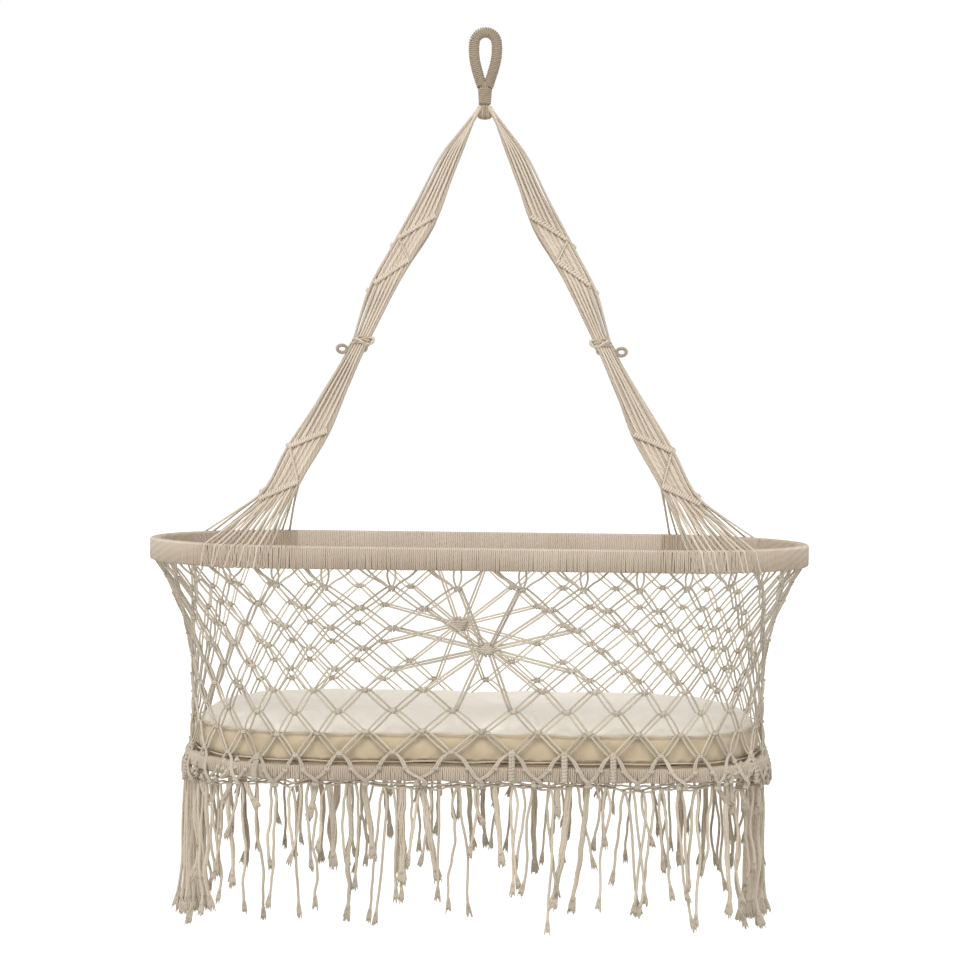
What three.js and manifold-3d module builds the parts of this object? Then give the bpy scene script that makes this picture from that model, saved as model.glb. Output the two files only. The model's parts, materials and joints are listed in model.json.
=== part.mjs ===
// Hanging baby cradle in knotted cotton cord: a wound hanging loop, four fanned cord straps, a wrapped oval
// rim hoop, a diamond net with two star figures, a wrapped base hoop, a board, a mattress and a fringe.
// Millimetres. The origin is the point where a hook carries the loop, the inner top of its eye.
// +Z is up, X runs along the cradle and Y across it, with the front at -Y.
import * as THREE from "three";
import { mergeVertices } from "three/addons/utils/BufferGeometryUtils.js";
import Module from "manifold-3d";

const wasm = await Module();
wasm.setup();

// Clearances
const touchGap = 0.3;
const fineGap = 0.4;
const weldReach = 1e-4;
const middleShare = 0.5;

// Overall plan and heights
const rimLength = 900;
const rimDepth = 450;
const rimTopDrop = 688;
const strapTopDrop = 98.5;

// Hanging loop
const eyeWidth = 16;
const eyeHeight = 55;
const loopCoreRadius = 4.3;
const windingCord = 2.7;
const windingTurns = 24;
const windingSteps = 8;
const windingWidthShare = 0.78;
const neckStart = 65;
const neckEnd = 89.7;
const neckTopRadius = 7.4;
const neckBottomRadius = 5.6;
const whippingCord = 2.1;
const whippingTurns = 8;
const whippingSteps = 10;

// Neck knot, a ball on which the cradle swings
const knotRadius = 8.5;

// Hoops and the cord wound round them
const bandThickness = 14;
const rimBandHeight = 30;
const baseBandHeight = 19;
const hoopWall = 8;
const hoopEdge = 3;
const bandChamfer = 3.6;
const hitchProud = 1;
const arcSteps = 15;
const hitchFrontSteps = 3;
const hitchBackStart = 1;
const hitchBackSteps = 4;

// Net, from the underside of the rim band to the top of the base band
const netDrop = 256;
const netInset = 60;
const netColumns = 27;
const columnStep = 0.5;
const netRows = 9;
const netTopShare = 0.0996;
const netRowShare = 0.1031;
const netDrift = 11;
const netCord = 3;
const knotHalfWidth = 6.5;
const knotHalfHeight = 5.2;
const knotProud = 2.4;
const rimFanHalf = 7;
const starKnotRadius = 9;
const starKnotProud = 5;
const spokeEndHalf = 1.4;
const baseInset = 50;
const netProfileShares = [
  [0, 0.13],
  [0.117, 0.383],
  [0.234, 0.617],
  [0.332, 0.8],
  [0.469, 0.933],
  [0.605, 0.983],
  [0.859, 1],
  [1, 0.885],
];

// Straps: twelve cords each, spread in a fan, with two bands of hitches and one gathering knot
const strapCords = 12;
const strapCord = 3;
const layerOffset = 1.8;
const layerBow = 0.25;
const frontLandingShares = [0.1697, 0.5642];
const backLandingShares = [0.326, 0.7717];
const headHalf = 3;
const headSeatShare = 0.74;
const headRiseShare = 0.75;
const headApartShare = 1.5;
const hitchBarHalf = 2;
const hitchBarHeight = 6;
const gatherWidth = 24;
const gatherShare = 0.5552;
const gatherHeight = 16;
const gatherTurns = 3;
const gatherPitch = 4.2;
const gatherCord = 3;
const gatherWidenShare = 0.3;
const picotLength = 19;
const picotHeight = 14;
const picotCord = 4;
const picotSeatShare = 0.28;
const picotSteps = 12;
const picotSides = 5;

// Board, lacing and mattress
const boardThickness = 6;
const boardRise = 2;
const boardGap = 0.8;
const lacingThickness = 3;
const lacingWidth = 6;
const lacingSpacing = 140;
const lacingRunShare = 0.45;
const lacingEndShare = 0.8;
const mattressThickness = 40;
const mattressCrown = 28;
const mattressGap = 2.4;
const mattressDrawIn = 4;

// Fringe and end tassels
const fringeStrands = 81;
const hemCord = 6;
const fringeCord = 3.2;
const fringeBundle = 7.5;
const fringeShortest = 70;
const fringeLongest = 193;
const fringeSway = 3.4;
const fringeMidShare = 0.5;
const fringeEndFlare = 1.3;
const fringeThinShare = 0.78;
const hemFlatShare = 0.8;
const tasselLength = 200;
const tasselHead = 7;
const tasselFlare = 21;
const tasselDepth = 8;

// Colours of the finishes
const cotton = new THREE.MeshStandardMaterial({ color: 0xd9cfb8, roughness: 0.95, metalness: 0 });
const cottonShade = new THREE.MeshStandardMaterial({ color: 0xc9bda3, roughness: 0.95, metalness: 0 });
const cloth = new THREE.MeshStandardMaterial({ color: 0xece6d8, roughness: 0.9, metalness: 0 });
const cane = new THREE.MeshStandardMaterial({ color: 0xb08a5a, roughness: 0.6, metalness: 0 });
const plywood = new THREE.MeshStandardMaterial({ color: 0xcaa877, roughness: 0.7, metalness: 0 });

// Derived sizes
const straightHalf = (rimLength - rimDepth) / 2;
const rimRadius = rimDepth / 2;
const rimMidRadius = rimRadius - bandThickness / 2;
const rimTopZ = -rimTopDrop;
const rimBottomZ = rimTopZ - rimBandHeight;
const baseTopZ = rimBottomZ - netDrop;
const baseBottomZ = baseTopZ - baseBandHeight;
const baseRadius = rimRadius - baseInset;
const baseMidRadius = baseRadius - bandThickness / 2;
const baseInnerRadius = baseRadius - bandThickness;
const knotCentreZ = -strapTopDrop;
const strapFall = rimTopDrop - strapTopDrop;
const stationCount = 2 * (arcSteps + 1);

const cradle = new THREE.Group();

function addPiece(name, geometry, material) {
  const mesh = new THREE.Mesh(geometry, material);
  mesh.name = name;
  cradle.add(mesh);
}

// Solids from rings of points

function signedVolume(triangles) {
  const cross = new THREE.Vector3();
  return triangles.reduce((sum, [a, b, c]) => sum + cross.crossVectors(a, b).dot(c) / 6, 0);
}

function toGeometry(triangles) {
  const turned = signedVolume(triangles) < 0;
  const positions = [];
  for (const [a, b, c] of triangles) {
    for (const corner of turned ? [a, c, b] : [a, b, c]) {
      positions.push(corner.x, corner.y, corner.z);
    }
  }
  return new THREE.BufferGeometry().setAttribute("position", new THREE.Float32BufferAttribute(positions, 3));
}

function quad(triangles, a, b, c, d) {
  triangles.push([a, b, c], [a, c, d]);
}

function skin(triangles, from, to) {
  from.forEach((point, i) => {
    const next = (i + 1) % from.length;
    quad(triangles, point, from[next], to[next], to[i]);
  });
}

function fan(triangles, ring) {
  for (let i = 1; i < ring.length - 1; i++) {
    triangles.push([ring[0], ring[i], ring[i + 1]]);
  }
}

// A closed body through rings that all have the same number of points.
function loft(rings) {
  const triangles = [];
  for (let i = 1; i < rings.length; i++) {
    skin(triangles, rings[i - 1], rings[i]);
  }
  fan(triangles, [...rings[0]].reverse());
  fan(triangles, rings[rings.length - 1]);
  return toGeometry(triangles);
}

// An endless tube through rings.
function endlessLoft(rings) {
  const triangles = [];
  rings.forEach((ring, i) => skin(triangles, ring, rings[(i + 1) % rings.length]));
  return toGeometry(triangles);
}

function flatRing(x, y, z, halfX, halfY) {
  return [
    new THREE.Vector3(x - halfX, y - halfY, z),
    new THREE.Vector3(x + halfX, y - halfY, z),
    new THREE.Vector3(x + halfX, y + halfY, z),
    new THREE.Vector3(x - halfX, y + halfY, z),
  ];
}

function uprightRing(x, y, z, halfY, halfZ) {
  return [
    new THREE.Vector3(x, y - halfY, z - halfZ),
    new THREE.Vector3(x, y + halfY, z - halfZ),
    new THREE.Vector3(x, y + halfY, z + halfZ),
    new THREE.Vector3(x, y - halfY, z + halfZ),
  ];
}

// Booleans

function toSolid(geometry) {
  const bare = geometry.clone();
  bare.deleteAttribute("normal");
  bare.deleteAttribute("uv");
  const merged = mergeVertices(bare, weldReach);
  return new wasm.Manifold(
    new wasm.Mesh({
      numProp: 3,
      vertProperties: new Float32Array(merged.attributes.position.array),
      triVerts: new Uint32Array(merged.index.array),
    }),
  );
}

function fromSolid(solid) {
  const mesh = solid.getMesh();
  const geometry = new THREE.BufferGeometry();
  geometry.setAttribute("position", new THREE.BufferAttribute(new Float32Array(mesh.vertProperties), 3));
  geometry.setIndex(new THREE.BufferAttribute(new Uint32Array(mesh.triVerts), 1));
  return geometry;
}

function join(geometries) {
  return fromSolid(geometries.map(toSolid).reduce((whole, piece) => whole.add(piece)));
}

// Oval plan: two straights and two half-round ends in equal facets. A station is a facet corner; station 0
// is where the front straight meets the right end, and the stations run round past the right end.

function stationPoint(radius, station) {
  const index = ((station % stationCount) + stationCount) % stationCount;
  const onLeft = index > arcSteps;
  const step = onLeft ? index - arcSteps - 1 : index;
  const angle = -Math.PI / 2 + (step / arcSteps) * Math.PI + (onLeft ? Math.PI : 0);
  const centre = onLeft ? -straightHalf : straightHalf;
  return new THREE.Vector3(centre + radius * Math.cos(angle), radius * Math.sin(angle), 0);
}

function ovalPoint(radius, station, z) {
  const before = Math.floor(station);
  const point = stationPoint(radius, before).lerp(stationPoint(radius, before + 1), station - before);
  return point.setZ(z);
}

function ovalRing(radius, z) {
  return Array.from({ length: stationCount }, (_, i) => ovalPoint(radius, i, z));
}

// The same oval by length along it: share 0 is the middle of the front and the shares run to the right.
function ovalAlong(radius, share) {
  const whole = 4 * straightHalf + 2 * Math.PI * radius;
  const along = (((share % 1) + 1) % 1) * whole;
  const endRun = Math.PI * radius;
  if (along < straightHalf) {
    return { x: along, y: -radius, angle: -Math.PI / 2, whole };
  }
  if (along < straightHalf + endRun) {
    const angle = -Math.PI / 2 + (along - straightHalf) / radius;
    return { x: straightHalf + radius * Math.cos(angle), y: radius * Math.sin(angle), angle, whole };
  }
  if (along < 3 * straightHalf + endRun) {
    return { x: 2 * straightHalf + endRun - along, y: radius, angle: Math.PI / 2, whole };
  }
  if (along < 3 * straightHalf + 2 * endRun) {
    const angle = Math.PI / 2 + (along - 3 * straightHalf - endRun) / radius;
    return { x: -straightHalf + radius * Math.cos(angle), y: radius * Math.sin(angle), angle, whole };
  }
  return { x: along - whole, y: -radius, angle: -Math.PI / 2, whole };
}

// Hoops and wound bands

function bandOutline(midRadius, midZ, halfThick, halfHeight, chamfer) {
  return [
    [midRadius - halfThick + chamfer, midZ - halfHeight],
    [midRadius + halfThick - chamfer, midZ - halfHeight],
    [midRadius + halfThick, midZ - halfHeight + chamfer],
    [midRadius + halfThick, midZ + halfHeight - chamfer],
    [midRadius + halfThick - chamfer, midZ + halfHeight],
    [midRadius - halfThick + chamfer, midZ + halfHeight],
    [midRadius - halfThick, midZ + halfHeight - chamfer],
    [midRadius - halfThick, midZ - halfHeight + chamfer],
  ];
}

function hoopOutline(midRadius, midZ, halfThick, halfHeight) {
  return [
    [midRadius - halfThick, midZ - halfHeight],
    [midRadius + halfThick, midZ - halfHeight],
    [midRadius + halfThick, midZ + halfHeight],
    [midRadius - halfThick, midZ + halfHeight],
  ];
}

function sectionAt(outline, station) {
  return outline.map(([radius, z]) => ovalPoint(radius, station, z));
}

function hoopSolid(outline) {
  const rings = Array.from({ length: stationCount }, (_, i) => sectionAt(outline, i));
  return endlessLoft(rings);
}

// A sleeve of wound cord round the hoop, open at both ends, with half a gap to its neighbours.
function sleeveSolid(outer, inner, from, to) {
  const midRadius = outer[0][0];
  const trimAt = (station, step) => {
    const here = ovalPoint(midRadius, station, 0);
    return touchGap / 2 / here.distanceTo(ovalPoint(midRadius, station + step, 0));
  };
  const stations = [from + trimAt(from, 1)];
  for (let station = from + 1; station < to; station++) {
    stations.push(station);
  }
  stations.push(to - trimAt(to, -1));
  const triangles = [];
  const outers = stations.map((station) => sectionAt(outer, station));
  const inners = stations.map((station) => sectionAt(inner, station));
  for (let i = 1; i < stations.length; i++) {
    skin(triangles, outers[i - 1], outers[i]);
    skin(triangles, [...inners[i - 1]].reverse(), [...inners[i]].reverse());
  }
  const plane = (points) => points.map(([radius, z]) => new THREE.Vector2(radius, z));
  const faces = THREE.ShapeUtils.triangulateShape(plane(outer), [plane(inner)]);
  const capTurn = faceTurn(plane(outer), plane(inner), faces[0]);
  const addCap = (index, flip) => {
    const points = [...outers[index], ...inners[index]];
    for (const [a, b, c] of faces) {
      triangles.push(flip === capTurn ? [points[a], points[c], points[b]] : [points[a], points[b], points[c]]);
    }
  };
  addCap(0, true);
  addCap(stations.length - 1, false);
  return toGeometry(triangles);
}

function faceTurn(outer, inner, face) {
  const points = [...outer, ...inner];
  const [a, b, c] = face.map((index) => points[index]);
  return (b.x - a.x) * (c.y - a.y) - (b.y - a.y) * (c.x - a.x) > 0;
}

function buildHoop(prefix, midRadius, topZ, height, sleeves) {
  const midZ = topZ - height / 2;
  const coreHalfHeight = height / 2 - hoopEdge;
  addPiece(prefix + "_hoop", hoopSolid(hoopOutline(midRadius, midZ, hoopWall / 2, coreHalfHeight)), cane);
  const bore = hoopOutline(midRadius, midZ, hoopWall / 2 + touchGap, coreHalfHeight + touchGap);
  for (const [name, from, to, proud] of sleeves) {
    const halfHeight = (height + proud) / 2;
    const halfThick = bandThickness / 2 + proud;
    const outline = bandOutline(midRadius, midZ + proud / 2, halfThick, halfHeight, bandChamfer);
    addPiece(name, sleeveSolid(outline, bore, from, to), proud > 0 ? cottonShade : cotton);
  }
}

const hitchBackEnd = hitchBackStart + hitchBackSteps;
const backStation = arcSteps;
const leftStation = arcSteps + 1;
buildHoop("rim", rimMidRadius, rimTopZ, rimBandHeight, [
  ["rim_wrap_front", stationCount - 1, stationCount, 0],
  ["strap_hitch_front_right", 0, hitchFrontSteps, hitchProud],
  ["rim_wrap_right_end", hitchFrontSteps, backStation - hitchBackEnd, 0],
  ["strap_hitch_back_right", backStation - hitchBackEnd, backStation - hitchBackStart, hitchProud],
  ["rim_wrap_back", backStation - hitchBackStart, leftStation + hitchBackStart, 0],
  ["strap_hitch_back_left", leftStation + hitchBackStart, leftStation + hitchBackEnd, hitchProud],
  ["rim_wrap_left_end", leftStation + hitchBackEnd, stationCount - 1 - hitchFrontSteps, 0],
  ["strap_hitch_front_left", stationCount - 1 - hitchFrontSteps, stationCount - 1, hitchProud],
]);
buildHoop("base", baseMidRadius, baseTopZ, baseBandHeight, [
  ["base_wrap_front", stationCount - 1, stationCount, 0],
  ["base_wrap_right_end", 0, backStation, 0],
  ["base_wrap_back", backStation, leftStation, 0],
  ["base_wrap_left_end", leftStation, stationCount - 1, 0],
]);

// Hanging loop: a bundle of cords bent into an eye, wound over with thin cord and whipped at the neck

const windingRadius = (loopCoreRadius + touchGap) / Math.cos(Math.PI / windingSteps) + windingCord / 2;
const limbRadius = windingRadius + windingCord / 2;
const eyeCentreX = eyeWidth / 2 + limbRadius;
const eyeArcZ = -eyeWidth / 2;
const eyeStraightShare = 0.42;
const neckJoinShare = 0.68;
const arcPoints = 10;

function loopHalf(sign) {
  return [
    new THREE.Vector3(sign * neckBottomRadius * neckJoinShare, 0, -neckStart),
    new THREE.Vector3(sign * (limbRadius + touchGap), 0, -eyeHeight),
    new THREE.Vector3(sign * eyeCentreX, 0, -eyeHeight * eyeStraightShare),
  ];
}

const loopPoints = [...loopHalf(-1)];
for (let i = 0; i <= arcPoints; i++) {
  const angle = Math.PI - (i / arcPoints) * Math.PI;
  loopPoints.push(new THREE.Vector3(eyeCentreX * Math.cos(angle), 0, eyeArcZ + eyeCentreX * Math.sin(angle)));
}
loopPoints.push(...loopHalf(1).reverse());
const loopPath = new THREE.CatmullRomCurve3(loopPoints, false, "centripetal");

// A round section at a place of the loop, in the frame of its path.
function loopFrame(share) {
  const centre = loopPath.getPointAt(share);
  const tangent = loopPath.getTangentAt(share);
  const outward = new THREE.Vector3(-tangent.z, 0, tangent.x);
  return { centre, tangent, outward };
}

const coreSides = 8;
const coreRings = 16;
const coreSections = Array.from({ length: coreRings + 1 }, (_, i) => {
  const { centre, outward } = loopFrame(i / coreRings);
  return Array.from({ length: coreSides }, (_unused, side) => {
    const angle = (side / coreSides) * 2 * Math.PI;
    return centre
      .clone()
      .addScaledVector(outward, loopCoreRadius * Math.cos(angle))
      .setY(loopCoreRadius * Math.sin(angle));
  });
});
const neckSides = 12;
const neckOverlap = (neckEnd - neckStart) / 4;
const neckProfile = [
  new THREE.Vector2(0, -neckEnd),
  new THREE.Vector2(neckBottomRadius, -neckEnd),
  new THREE.Vector2(neckTopRadius, -neckStart),
  new THREE.Vector2(neckTopRadius - loopCoreRadius / 2, -neckStart + neckOverlap),
  new THREE.Vector2(0, -neckStart + neckOverlap),
];
const neckStem = new THREE.LatheGeometry(neckProfile, neckSides).rotateX(Math.PI / 2);
addPiece("hanging_loop_core", join([loft(coreSections), neckStem]), cottonShade);

// The least distance between the turns of a winding, measured on the corners of its rings.
function leastTurnGap(rings, stepsPerTurn) {
  let least = Infinity;
  for (let i = 0; i < rings.length; i++) {
    for (let j = i + stepsPerTurn - 1; j < Math.min(rings.length, i + stepsPerTurn + 2); j++) {
      for (const a of rings[i]) {
        for (const b of rings[j]) {
          least = Math.min(least, a.distanceTo(b));
        }
      }
    }
  }
  return least;
}

// One unbroken cord wound round the loop from neck to neck. Its width follows the local spacing.
const windingTrimShare = 0.085;
const windingRings = [];
const pathLength = loopPath.getLength();
for (let i = 0; i <= windingTurns * windingSteps; i++) {
  const share = windingTrimShare + (1 - 2 * windingTrimShare) * (i / (windingTurns * windingSteps));
  const angle = (i / windingSteps) * 2 * Math.PI;
  const { centre, tangent, outward } = loopFrame(share);
  const radial = outward.clone().multiplyScalar(Math.cos(angle)).setY(Math.sin(angle));
  const pitch = (pathLength * (1 - 2 * windingTrimShare)) / windingTurns;
  const nearArc = centre.z > eyeArcZ ? 1 : 0;
  const spacing = pitch * (1 + nearArc * Math.cos(angle) * (windingRadius / eyeCentreX));
  const half = (spacing * windingWidthShare) / 2;
  const at = centre.clone().addScaledVector(radial, windingRadius);
  windingRings.push([
    at.clone().addScaledVector(radial, windingCord / 2),
    at.clone().addScaledVector(tangent, half),
    at.clone().addScaledVector(radial, -windingCord / 2),
    at.clone().addScaledVector(tangent, -half),
  ]);
}
addPiece("hanging_loop_winding", loft(windingRings), cotton);

// The whipping of the neck, on its taper.
const whippingRings = [];
const whippingSides = 4;
for (let i = 0; i <= Math.round(whippingTurns * whippingSteps); i++) {
  const turn = i / whippingSteps;
  const share = turn / whippingTurns;
  const run = neckEnd - neckStart - whippingCord - 2 * touchGap;
  const z = -neckStart - touchGap - whippingCord / 2 - share * run;
  const stemShare = (-z - whippingCord / 2 - neckStart) / (neckEnd - neckStart);
  const stem = neckTopRadius + (neckBottomRadius - neckTopRadius) * stemShare;
  const radius = (stem + touchGap) / Math.cos(Math.PI / whippingSteps) + whippingCord / 2;
  const angle = turn * 2 * Math.PI;
  whippingRings.push(
    Array.from({ length: whippingSides }, (_, side) => {
      const around = (side / whippingSides) * 2 * Math.PI;
      const reach = radius + (whippingCord / 2) * Math.cos(around);
      const rise = (whippingCord / 2) * Math.sin(around);
      return new THREE.Vector3(reach * Math.cos(angle), reach * Math.sin(angle), z + rise);
    }),
  );
}
addPiece("neck_whipping", loft(whippingRings), cotton);
console.log("least gap of the loop winding", leastTurnGap(windingRings, windingSteps).toFixed(2));
console.log("least gap of the neck whipping", leastTurnGap(whippingRings, whippingSteps).toFixed(2));

const ballColumns = 12;
const ballRows = 8;
const ball = new THREE.SphereGeometry(knotRadius, ballColumns, ballRows).rotateX(Math.PI / 2);
addPiece("neck_knot", ball.translate(0, 0, knotCentreZ), cottonShade);

// Straps. Each is a flat fan of cords in the slanted plane through the neck knot and its place on the rim. A
// station of a strap is [share of the fall, share of the landing X] for its inner and its outer edge.

const strapStationShares = {
  bundle: { inner: [0.096, 0.086], outer: [0.096, 0.127] },
  upperHitch: { inner: [0.272, 0.24], outer: [0.316, 0.323] },
  upperReturn: { inner: [0.359, 0.352], outer: [0.4215, 0.41] },
  gather: { inner: [0.554, gatherShare], outer: [0.554, gatherShare] },
  lowerHitch: { inner: [0.754, 0.75], outer: [0.7845, 0.735] },
  lowerReturn: { inner: [0.8626, 0.894], outer: [0.898, 0.823] },
};

function framedRing(centre, sideAxis, faceAxis, halfSide, halfFace) {
  return [
    centre.clone().addScaledVector(sideAxis, -halfSide).addScaledVector(faceAxis, -halfFace),
    centre.clone().addScaledVector(sideAxis, halfSide).addScaledVector(faceAxis, -halfFace),
    centre.clone().addScaledVector(sideAxis, halfSide).addScaledVector(faceAxis, halfFace),
    centre.clone().addScaledVector(sideAxis, -halfSide).addScaledVector(faceAxis, halfFace),
  ];
}

class Strap {
  constructor(name, sideX, sideY) {
    this.name = name;
    this.sideX = sideX;
    this.sideY = sideY;
    this.landingShares = sideY < 0 ? frontLandingShares : backLandingShares;
    const inner = this.landing(0);
    const outer = this.landing(1);
    const knot = new THREE.Vector3(0, 0, knotCentreZ);
    this.sideAxis = outer.clone().sub(inner).normalize();
    this.faceAxis = new THREE.Vector3(-this.sideAxis.y, this.sideAxis.x, 0);
    this.normal = inner.clone().sub(knot).cross(outer.clone().sub(knot)).normalize();
    if (this.normal.y * sideY < 0) {
      this.normal.negate();
    }
    if (this.faceAxis.y * sideY < 0) {
      this.faceAxis.negate();
    }
    this.upAxis = this.sideAxis.clone().cross(this.normal);
    if (this.upAxis.z < 0) {
      this.upAxis.negate();
    }
    // The plane of the fan, as its depth per millimetre of X and per whole fall.
    this.depthPerX = (Math.abs(outer.y) - Math.abs(inner.y)) / (Math.abs(outer.x) - Math.abs(inner.x));
    this.depthPerFall = Math.abs(inner.y) - this.depthPerX * Math.abs(inner.x);
  }

  // A strap lands on the bend of the rim: its inner and outer cord this share of the radius past the straight.
  landingX(across) {
    const [inner, outer] = this.landingShares;
    return straightHalf + rimMidRadius * (inner + (outer - inner) * across);
  }

  // Where a cord meets the hitches on the middle of the rim band.
  landing(across) {
    const x = this.landingX(across);
    const past = x - straightHalf;
    const depth = Math.sqrt(rimMidRadius * rimMidRadius - past * past);
    return new THREE.Vector3(this.sideX * x, this.sideY * depth, rimTopZ + hitchProud + touchGap);
  }

  // A point of the fan, where across runs from the inner to the outer edge.
  at(stationName, across) {
    const { inner, outer } = strapStationShares[stationName];
    const fall = inner[0] + (outer[0] - inner[0]) * across;
    const innerX = inner[1] * this.landingX(0);
    const outerX = outer[1] * this.landingX(1);
    const fanX = innerX + (outerX - innerX) * across;
    const gatherX = gatherShare * this.landingX(middleShare) + gatherWidth * (across - middleShare);
    const x = stationName === "gather" ? gatherX : fanX;
    const y = this.depthPerX * x + this.depthPerFall * fall;
    return new THREE.Vector3(this.sideX * x, this.sideY * y, knotCentreZ - fall * strapFall);
  }

  headStart() {
    const reach = knotRadius + touchGap + headHalf * headSeatShare;
    const away = this.at("bundle", middleShare).sub(new THREE.Vector3(0, 0, knotCentreZ)).normalize();
    away.z *= headRiseShare;
    away.y *= headApartShare;
    return away.normalize().multiplyScalar(reach).add(new THREE.Vector3(0, 0, knotCentreZ));
  }

  // The cords lie in two layers, each a little fuller in its middle.
  layerOf(index) {
    const offCentre = (2 * index) / (strapCords - 1) - 1;
    const layer = layerOffset + layerBow * (1 - offCentre * offCentre);
    return index % 2 === 0 ? layer : -layer;
  }

  cordRing(point, index) {
    const layer = this.layerOf(index);
    const centre = point.clone().addScaledVector(this.normal, layer);
    return framedRing(centre, this.sideAxis, this.normal, strapCord / 2, strapCord / 2);
  }

  landingRing(index) {
    const layer = this.layerOf(index);
    const centre = this.landing(index / (strapCords - 1)).addScaledVector(this.faceAxis, layer);
    return framedRing(centre, this.sideAxis, this.faceAxis, strapCord / 2, strapCord / 2);
  }

  // Half the width and the depth of the bound middle, where all cords lie side by side.
  gatherSize() {
    const width = this.at("gather", 1).distanceTo(this.at("gather", 0)) + strapCord;
    return {
      halfWidth: (width + gatherHeight * gatherWidenShare) / 2 + touchGap,
      halfFace: layerOffset + layerBow + strapCord / 2 + touchGap,
    };
  }

  // A point of the bound middle, this far above its centre along the fan.
  gatherPoint(across, rise) {
    const centre = this.at("gather", across);
    const way = this.at(rise > 0 ? "upperHitch" : "lowerHitch", across).sub(centre);
    return centre.addScaledVector(way, rise / way.dot(this.upAxis));
  }

  gatherRing(rise) {
    const { halfWidth, halfFace } = this.gatherSize();
    return framedRing(this.gatherPoint(middleShare, rise), this.sideAxis, this.normal, halfWidth, halfFace);
  }

  // A face with holes in it, from which the cords come out; turn is 1 when it closes the end of a body.
  holedFace(triangles, outer, holes, turn) {
    const place = (point) => new THREE.Vector2(point.dot(this.sideAxis), point.dot(this.normal));
    const flat = [outer, ...holes].map((ring) => ring.map(place));
    const points = [outer, ...holes].flat();
    const places = flat.flat();
    const faces = THREE.ShapeUtils.triangulateShape(flat[0], flat.slice(1));
    const areaOf = ([a, b, c]) => places[b].clone().sub(places[a]).cross(places[c].clone().sub(places[a]));
    const kept = faces.reduce((sum, face) => sum + areaOf(face), 0) * turn > 0;
    for (const [a, b, c] of faces) {
      triangles.push(kept ? [points[a], points[b], points[c]] : [points[a], points[c], points[b]]);
    }
  }

  cordsSolid() {
    const triangles = [];
    const cordRow = (placeOf) => Array.from({ length: strapCords }, (_, i) => placeOf(i, i / (strapCords - 1)));
    const stationRow = (name) => cordRow((i, across) => this.cordRing(this.at(name, across), i));
    const gatherRow = (rise) => cordRow((i, across) => this.cordRing(this.gatherPoint(across, rise), i));
    const run = (rows) => {
      for (let row = 1; row < rows.length; row++) {
        rows[row].forEach((ring, i) => skin(triangles, rows[row - 1][i], ring));
      }
    };
    const width = this.at("bundle", 1).distanceTo(this.at("bundle", 0)) + strapCord;
    const { halfFace } = this.gatherSize();
    const headStart = framedRing(this.headStart(), this.sideAxis, this.faceAxis, headHalf, headHalf);
    const headMiddle = this.at("bundle", middleShare);
    const headEnd = framedRing(headMiddle, this.sideAxis, this.normal, width / 2 + touchGap, halfFace);
    const bundle = stationRow("bundle");
    const gatherTop = gatherRow(gatherHeight / 2);
    const gatherFoot = gatherRow(-gatherHeight / 2);
    const landing = cordRow((i) => this.landingRing(i));
    fan(triangles, [...headStart].reverse());
    skin(triangles, headStart, headEnd);
    this.holedFace(triangles, headEnd, bundle, 1);
    run([bundle, stationRow("upperHitch"), gatherTop]);
    this.holedFace(triangles, this.gatherRing(gatherHeight / 2), gatherTop, -1);
    skin(triangles, this.gatherRing(gatherHeight / 2), this.gatherRing(-gatherHeight / 2));
    this.holedFace(triangles, this.gatherRing(-gatherHeight / 2), gatherFoot, 1);
    run([gatherFoot, stationRow("lowerHitch"), stationRow("lowerReturn"), landing]);
    landing.forEach((ring) => fan(triangles, ring));
    return toGeometry(triangles);
  }

  // The cord wound round the bound middle.
  gatherWinding() {
    const { halfWidth, halfFace } = this.gatherSize();
    const reach = Math.SQRT2 * (gatherCord / 2 + fineGap);
    const corners = [
      [halfWidth + reach, -halfFace],
      [halfWidth + reach, halfFace],
      [halfWidth, halfFace + reach],
      [-halfWidth, halfFace + reach],
      [-halfWidth - reach, halfFace],
      [-halfWidth - reach, -halfFace],
      [-halfWidth, -halfFace - reach],
      [halfWidth, -halfFace - reach],
    ];
    const rings = [];
    const steps = gatherTurns * corners.length;
    for (let i = 0; i <= steps; i++) {
      const rise = gatherPitch * (gatherTurns / 2 - i / corners.length);
      const [side, face] = corners[i % corners.length];
      const out = new THREE.Vector3();
      out.addScaledVector(this.sideAxis, side / halfWidth).addScaledVector(this.normal, face / halfFace);
      out.normalize();
      const at = this.gatherPoint(middleShare, rise);
      at.addScaledVector(this.sideAxis, side).addScaledVector(this.normal, face);
      rings.push([
        at.clone().addScaledVector(out, gatherCord / 2),
        at.clone().addScaledVector(this.upAxis, -gatherCord / 2),
        at.clone().addScaledVector(out, -gatherCord / 2),
        at.clone().addScaledVector(this.upAxis, gatherCord / 2),
      ]);
    }
    return rings;
  }

  // A band of hitches: a slanted row, its return across the cords and a second slanted row.
  hitchBand(first, second) {
    const stand = layerOffset + layerBow + strapCord / 2 + fineGap + hitchBarHalf;
    const over = (point) => point.clone().addScaledVector(this.normal, stand);
    const bar = (from, to) => {
      const along = to.clone().sub(from).normalize();
      const wide = along.clone().cross(this.normal);
      const start = from.clone().addScaledVector(along, -strapCord / 2);
      const end = to.clone().addScaledVector(along, strapCord / 2);
      const section = (point) => framedRing(over(point), wide, this.normal, hitchBarHeight / 2, hitchBarHalf);
      return loft([section(start), section(end)]);
    };
    return join([
      bar(this.at(first, 0), this.at(first, 1)),
      bar(this.at(first, 1), this.at(second, 0)),
      bar(this.at(second, 0), this.at(second, 1)),
    ]);
  }

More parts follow.
